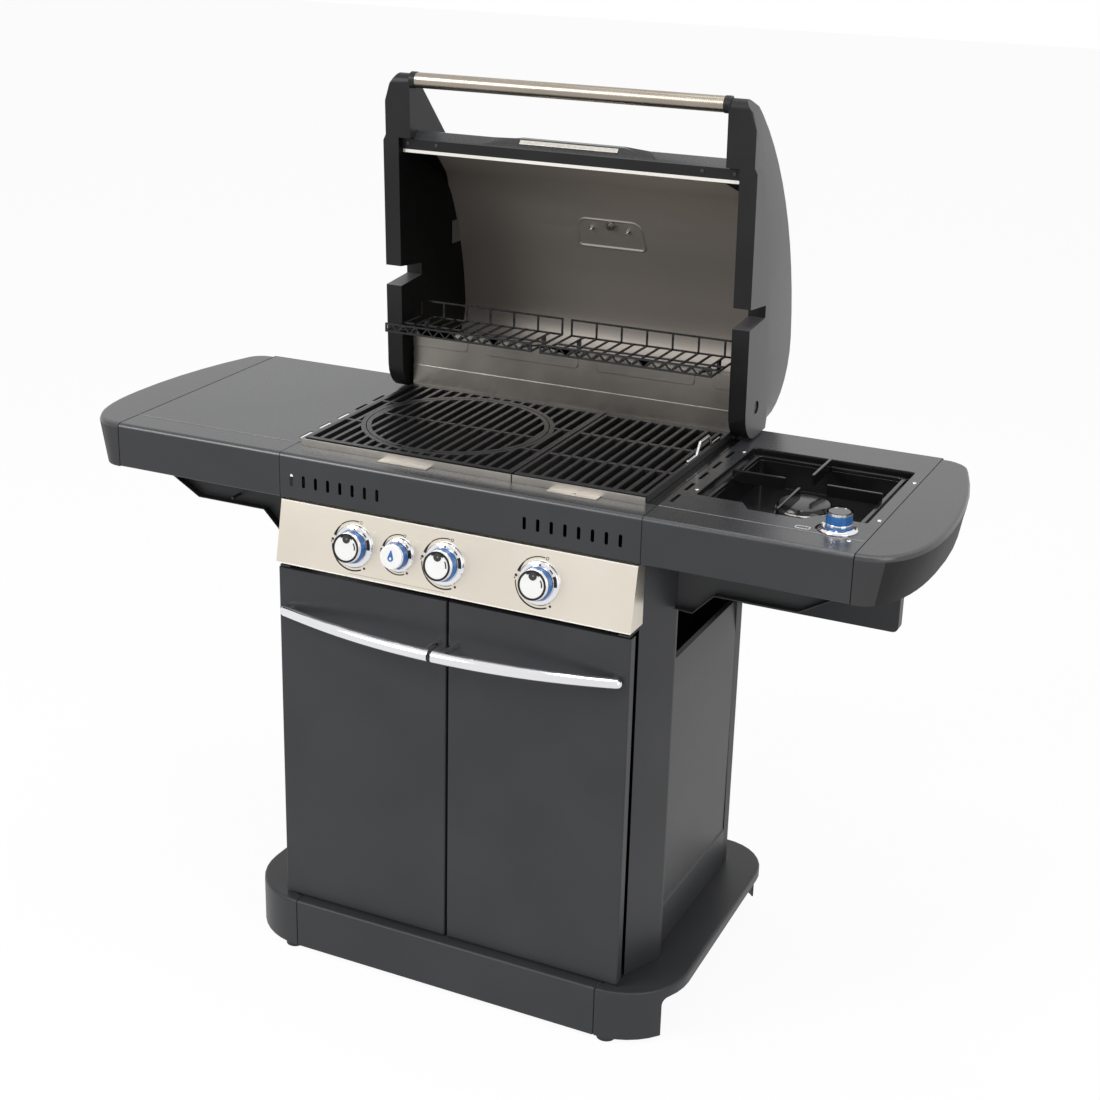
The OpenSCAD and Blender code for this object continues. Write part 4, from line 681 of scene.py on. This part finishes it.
# The inner sheet's colour holds painted shade near the hinge and at the left, and a painted reflection up the
# sheet and at the right.
shaded_inner_steel = finish_of("inner steel with painted shade and reflection", (0.175, 0.160, 0.143), (0.225, 0.207, 0.186),
                 (0.44, 0.54), metal=0.6, mottle=2.2, grain=700)
paint_shade_and_reflection(shaded_inner_steel, (0.16, 0.145, 0.130), (0.62, 0.56, 0.50), 0.25)
for side, node in ((-1, "lid_cap_left"), (1, "lid_cap_right")):
    casting = soften(node, node + "_painted", lit_side_paint, 0.0016, 3)
    # Painted shade on the rim and the towers' tops, and near-black painted shade on the inner faces.
    tint(casting, shaded_rim_paint, lambda centre, normal:
         normal.y < -0.45 or centre.z > 1.365 and normal.x * side < 0.35)
    tint(casting, painted_shade_black, lambda centre, normal: normal.x * side < -0.9 and centre.z < 1.36)
brow_z, ridge_y, ridge_z = 1.384, 0.1155, 0.0095


def swell_brow(spot):
    """Raises the ridge behind the visor, lays the brow back and fills the inlay's recess."""
    if spot.z > brow_z - 0.0055 and abs(spot.x) < 0.11:
        spot.z = brow_z
        spot.y += 0.0115
    elif spot.z > 1.366 and ridge_y < spot.y < 0.139:
        spot.z += ridge_z * (1 - ((spot.y - ridge_y) / 0.026) ** 2)


def clear_pad(spot):
    """Lays the pad's rim back into the inner sheet, where the pressed pad then lies."""
    angle, inward = sheet_place(spot)
    by_the_dial = abs(spot.x - dial_x) < 0.062 and abs(radians(angle - dial_angle)) < 0.05
    if by_the_dial and 0.0004 < inward < 0.0032:
        spot += out_of_lid(angle) * (inward - 0.0001)


sheet_over = soften("lid_skin", "lid_skin_enamelled", lid_paint, 0.001, reshape=swell_brow)
# Painted shade: the outer sheet's front faces take the darker copy of the graphite.
tint(sheet_over, shaded_rim_paint,
     lambda centre, normal: centre.z > 1.33 and normal.y < 0.3 and normal.z < 0.45)
tint(sheet_over, graphite_top, lambda centre, normal: centre.z > 1.367 and normal.z > 0.45)
tab_paint = finish_of("grey bracket", (0.085, 0.083, 0.080), (0.115, 0.112, 0.108),
                      (0.4, 0.5), metal=0.2)
tab_half = Vector((0.001, 0.017, 0.021))
for side, hand in ((-1, "left"), (1, "right")):
    # Painted shade: a near-black copy of the inner sheet's end lies over it beside each casting.
    shade_sheet = copy_of(frame["nodes"]["lid_liner"])
    bpy.ops.object.mode_set(mode="EDIT")
    bpy.ops.mesh.select_all(action="SELECT")
    bpy.ops.mesh.bisect(plane_co=(side * 0.260, 0.130, 1.348),
                        plane_no=(side * 0.151, -0.039, 0.020), use_fill=True,
                        clear_inner=True, clear_outer=False)
    bpy.ops.object.mode_set(mode="OBJECT")
    for vertex in shade_sheet.data.vertices:
        vertex.co += Vector((-side * 0.0002, -0.0010, -0.0016))
    paint(shade_sheet, painted_shade_black)
    settle(shade_sheet, f"painted_shade_sheet_{hand}", "lid")
    spot = on_lid(side * 0.3068, -0.200, 0.157)
    tab = strip("tab", spot - tab_half, spot + tab_half, tab_paint, 0.0006)
    settle(tab, f"rack_tab_{hand}", "lid")
soften("lid_liner", "lid_liner_shaded", shaded_inner_steel, 0.0008, flat=0, reshape=clear_pad)
handle_steel = finish_of("brushed handle tube", (0.30, 0.265, 0.22), (0.37, 0.33, 0.275),
                         (0.24, 0.34), metal=1.0, mottle=5, grain=60, depth=0.05,
                         stretch=(0.5, 30, 30), anisotropy=0.5)
soften("lid_handle", "lid_handle_brushed", handle_steel, 0.002, flat=0)

pad_half, pad_rise, pad_angle = 0.0670, 0.0310, dial_angle + 1
deselect()
bpy.ops.mesh.primitive_grid_add(x_subdivisions=96, y_subdivisions=46, size=1, location=(0, 0, 0))
pad = bpy.context.object
for vertex in pad.data.vertices:
    x, up = vertex.co.x * 2 * pad_half, vertex.co.y * 2 * pad_rise
    half = pad_half - 0.0025 * (up / pad_rise + 1)
    corner = 0.010 if up < 0 else 0.018
    x = max(-half, min(half, x))
    inside = min(half - abs(x), pad_rise - abs(up))
    from_x, from_up = abs(x) - (half - corner), abs(up) - (pad_rise - corner)
    if from_x > 0 and from_up > 0:
        reach = hypot(from_x, from_up)
        inside = max(0, corner - reach)
        pull = min(1, corner / reach) - 1
        x += from_x * pull * (1 if x > 0 else -1)
        up += from_up * pull * (1 if up > 0 else -1)
    lip = min(1, inside / 0.0016) - 0.85 * min(1, max(0, (inside - 0.0032) / 0.0026))
    vertex.co = on_sheet(x, pad_angle + degrees(up / curve_r), -0.0006 + 0.0030 * lip)
bpy.ops.object.shade_smooth()
paint(pad, shaded_inner_steel)
settle(pad, "pressed_pad", "lid")


def lift_nut(spot):
    """The fixing nut sits in the upper half of the pressed pad."""
    angle, inward = sheet_place(spot)
    if inward > -0.0007:
        spot += out_of_lid(angle + 90) * 0.0290


soften("thermometer", "thermometer_fixed", tube_steel, 0.0004, reshape=lift_nut)
dial_centre, dial_way = on_sheet(dial_x, dial_angle, 0), out_of_lid(dial_angle)
dial_rise = max((vertex.co - dial_centre).dot(dial_way)
                for vertex in frame["nodes"]["thermometer"].data.vertices)
face_white = finish_of("white dial face", (0.74, 0.73, 0.70), (0.80, 0.79, 0.76), (0.3, 0.4))
dial_black = finish_of("black on the dial", (0.012, 0.012, 0.012), (0.018, 0.018, 0.018),
                       (0.3, 0.4))
dial_red = finish_of("red on the dial", (0.50, 0.03, 0.02), (0.56, 0.04, 0.03), (0.3, 0.4))
ticks = [strip("tick", (-0.0004, 0.0225, 0.0004), (0.0004, 0.0258, 0.0010), dial_black, 0)]
ticks += [copy_of(ticks[0]) for _ in range(10)]
for number, tick in enumerate(ticks):
    tick.data.transform(Matrix.Rotation(radians(-120 + 24 * number), 4, "Z"))
dial = join("dial", [
    disc("face", 0.0290, 0, 0.0006, face_white, sides=64),
    arc_band("hot", 0.0195, 0.0212, 1, 4, 0.0004, 0.0009, dial_red),
    strip("pointer", (-0.0006, -0.0050, 0.0006), (0.0006, 0.0190, 0.0014), dial_black, 0),
    disc("hub", 0.0026, 0.0006, 0.0020, dial_black, sides=24), *ticks])
place_on(dial, dial_centre + dial_way * dial_rise, dial_way)
settle(dial, "thermometer_dial", "lid")
keep_node("lid_hinges", graphite)
bare_edge = finish_of("bare bright edge", (0.80, 0.77, 0.72), (0.88, 0.85, 0.80), (0.2, 0.3),
                      metal=0.6)
hem = strip("lid_hem", (-0.306, 0.1001, 1.3464), (0.306, 0.1018, 1.3518), bare_edge, 0)
settle(hem, "lid_hem", "lid")
inlay = strip("brow_inlay", (-0.0890, -0.0040, -0.0004), (0.0890, 0.0040, 0.0009), bare_edge)
place_on(inlay, (0, 0.1118, 1.3790), (0, -0.70, 0.714))
settle(inlay, "brow_inlay", "lid")


def set_out(name, first, places):
    """Copies of a finished piece, one at each (spot, up), joined into one."""
    copies = [first] + [copy_of(first) for _ in places[1:]]
    for piece, (spot, up) in zip(copies, places):
        place_on(piece, spot, up)
    return join(name, copies)


screw_head = disc("head", 0.0034, 0, 0.0016, dull_black, edge=0.0006, sides=24)
heads = set_out("visor_screws", screw_head, [((x, 0.1003, 1.362), (0, -1, 0))
                                             for x in (-0.296, -0.241, 0.241, 0.296)])
settle(heads, "visor_screws", "lid")
stud = join("stud", [disc("washer", 0.0046, -0.0006, 0.0008, tube_steel, edge=0.0004, sides=28),
                     disc("nut", 0.0031, 0, 0.0055, chrome, edge=0.0004, sides=6),
                     disc("thread", 0.0019, 0, 0.0105, chrome, edge=0.0004, sides=20)])
stud_angle = dial_angle + 2
studs = set_out("pad_studs", stud, [(on_sheet(x, stud_angle, 0.0002), -out_of_lid(stud_angle))
                                    for x in (-0.0350, 0.0346)])
settle(studs, "pad_studs", "lid")


# ---- Doors -----------------------------------------------------------------------------------
# Folded pans in graphite enamel that hang on steel pivots at their outer edges. A chromed bow in
# two halves, one on each door, meets in a black ring over the gap.
for node in ("door_left", "door_right"):
    soften(node, node + "_enamelled", graphite, fold_r)
for node in ("door_handle_left", "door_handle_right"):
    soften(node, node + "_chromed", chrome, 0.0006)
keep_node("door_pivots", dull_black)


# ---- Side burner -----------------------------------------------------------------------------
# An enamelled pan let into the right shelf, with a steel burner under a black cap, a cast pan
# support, and a folded cover that lifts off and hangs behind. The gas scale and a small square
# with a ring in it are printed in white by the knob.
soften("burner_well", "burner_well_enamelled", enamel, 0.0025, 3)
soften("side_burner", "side_burner_head", tube_steel, 0.0005)
burner_cap = disc("burner_cap", 0.0450, 0.8765, 0.8840, enamel, (0.489, -0.031), edge=0.002,
                  sides=72, top=0.0400)
settle(burner_cap, "burner_cap", "frame")
soften("pan_support", "pan_support_cast", enamel, 0.0012)
soften("side_cover", "side_cover_enamelled", graphite, 0.0015)
white_ink = finish_of("white printing ink", (0.80, 0.80, 0.78), (0.86, 0.86, 0.84), (0.4, 0.5))
icon_left, icon_right, icon_foot, icon_top, icon_t = -0.0610, -0.0390, -0.0200, -0.0089, 0.0009
icon_bars = [strip("bar", (*low, 0), (*high, print_t), white_ink, 0) for low, high in (
    ((icon_left, icon_foot), (icon_right, icon_foot + icon_t)),
    ((icon_left, icon_top - icon_t), (icon_right, icon_top)),
    ((icon_left, icon_foot), (icon_left + icon_t, icon_top)),
    ((icon_right - icon_t, icon_foot), (icon_right, icon_top)))]
icon_ring = arc_band("icon", 0.0026, 0.0038, 12, 0.01, 0, print_t, white_ink)
icon_ring.location = ((icon_left + icon_right) / 2, -0.0145, 0)
lay_flat(icon_ring)
side_marks = join("side_marks", [
    arc_band("line", 0.0306, 0.0322, 8.4, 5.3, 0, print_t, white_ink),
    arc_band("flame", 0.0306, 0.0346, 9.7, 8.3, 0, print_t, white_ink),
    disc("low flame", 0.0024, 0, print_t, white_ink, at_hour(10.1, 0.0345), sides=20),
    *icon_bars, icon_ring])
side_dial = joint["side_dial_turn"]
place_on(side_marks, side_dial["pos_m"], side_dial["axis"])
settle(side_marks, "side_marks", "frame")
shelf_screw = disc("screw", 0.0034, -0.0010, 0.0013, chrome, edge=0.0009, sides=24)
screws = set_out("shelf_screws", shelf_screw, [((x, y, top_z), (0, 0, 1)) for x, y in (
    (0.637, -0.138), (0.637, 0.058), (0.347, -0.136), (0.347, 0.079), (0.622, -0.242))])
settle(screws, "shelf_screws", "frame")


# ---- Stage, lamps and camera -----------------------------------------------------------------
# A plain pale floor under a white sky, with soft lamps from both sides and above. What the camera
# sees of the floor and the sky is nearly white, while the light they give the object stays plain.
deselect()
bpy.ops.mesh.primitive_plane_add(size=30, location=(0, 0, 0))
floor = bpy.context.object
floor.name = "floor"
pale = bpy.data.materials.new("pale floor")
pale.use_nodes = True
pale_nodes, pale_links = pale.node_tree.nodes, pale.node_tree.links
pale_shader = pale_nodes["Principled BSDF"]
pale_shader.inputs["Base Color"].default_value = (0.95, 0.95, 0.95, 1)
pale_shader.inputs["Roughness"].default_value = 0.9
pale_shader.inputs["Specular IOR Level"].default_value = 0.0
white_share = 0.94


def seen_directly(nodes, links):
    """One for rays from the camera, a mirror or glass, and nothing for light on the object."""
    path = nodes.new("ShaderNodeLightPath")
    both = nodes.new("ShaderNodeMath")
    both.operation = "MAXIMUM"
    every = nodes.new("ShaderNodeMath")
    every.operation = "MAXIMUM"
    links.new(path.outputs["Is Camera Ray"], both.inputs[0])
    links.new(path.outputs["Is Transmission Ray"], both.inputs[1])
    links.new(both.outputs["Value"], every.inputs[0])
    links.new(path.outputs["Is Glossy Ray"], every.inputs[1])
    return every.outputs["Value"]


glow = pale_nodes.new("ShaderNodeEmission")
glow.inputs["Color"].default_value = (1, 1, 1, 1)
share = pale_nodes.new("ShaderNodeMath")
share.operation = "MULTIPLY"
share.inputs[1].default_value = white_share
pale_mix = pale_nodes.new("ShaderNodeMixShader")
pale_links.new(seen_directly(pale_nodes, pale_links), share.inputs[0])
pale_links.new(share.outputs["Value"], pale_mix.inputs["Fac"])
pale_links.new(pale_shader.outputs["BSDF"], pale_mix.inputs[1])
pale_links.new(glow.outputs["Emission"], pale_mix.inputs[2])
pale_links.new(pale_mix.outputs["Shader"], pale_nodes["Material Output"].inputs["Surface"])
paint(floor, pale)

world = bpy.data.worlds.new("sky")
bpy.context.scene.world = world
world.use_nodes = True
sky_nodes, sky_links = world.node_tree.nodes, world.node_tree.links
sky = sky_nodes["Background"]
sky.inputs["Strength"].default_value = 0.42
white = sky_nodes.new("ShaderNodeBackground")
mix = sky_nodes.new("ShaderNodeMixShader")
sky.inputs["Color"].default_value = white.inputs["Color"].default_value = (1, 1, 1, 1)
sky_links.new(seen_directly(sky_nodes, sky_links), mix.inputs["Fac"])
sky_links.new(sky.outputs["Background"], mix.inputs[1])
sky_links.new(white.outputs["Background"], mix.inputs[2])
sky_links.new(mix.outputs["Shader"], sky_nodes["World Output"].inputs["Surface"])


def lamp(name, spot, aim_z, size, power):
    """A round soft lamp at spot, aimed at the middle of the object at the height aim_z."""
    light = bpy.data.lights.new(name, "AREA")
    light.shape = "DISK"
    light.size = size
    light.energy = power
    holder = bpy.data.objects.new(name, light)
    bpy.context.scene.collection.objects.link(holder)
    holder.location = spot
    way = Vector((0, 0, aim_z)) - Vector(spot)
    holder.rotation_euler = way.to_track_quat("-Z", "Y").to_euler()


lamp("key", (-2.6, -3.4, 3.6), 0.7, 2.4, 120)
lamp("fill", (3.6, -2.2, 2.2), 0.8, 2.6, 55)
lamp("top", (0.4, 0.6, 4.4), 0.9, 2.6, 50)
lamp("edge", (0.2, -1.5, 4.1), 0.9, 0.9, 26)

lens = bpy.data.cameras.new("camera")
lens.sensor_width = 36
lens.lens = 63.23
lens.shift_x = 0.0740
lens.shift_y = -0.0128
lens.clip_start = 0.05
lens.clip_end = 60
camera = bpy.data.objects.new("camera", lens)
bpy.context.scene.collection.objects.link(camera)
bpy.context.scene.camera = camera
stand = Vector((1.32449, -2.82272, 1.89947))
heading, pitch, roll = radians(27.109), radians(90 - 20.616), radians(0.586)
camera.matrix_world = (Matrix.Translation(stand) @ Matrix.Rotation(heading, 4, "Z")
                       @ Matrix.Rotation(pitch, 4, "X") @ Matrix.Rotation(roll, 4, "Z"))

bpy.context.scene.view_settings.view_transform = "Standard"
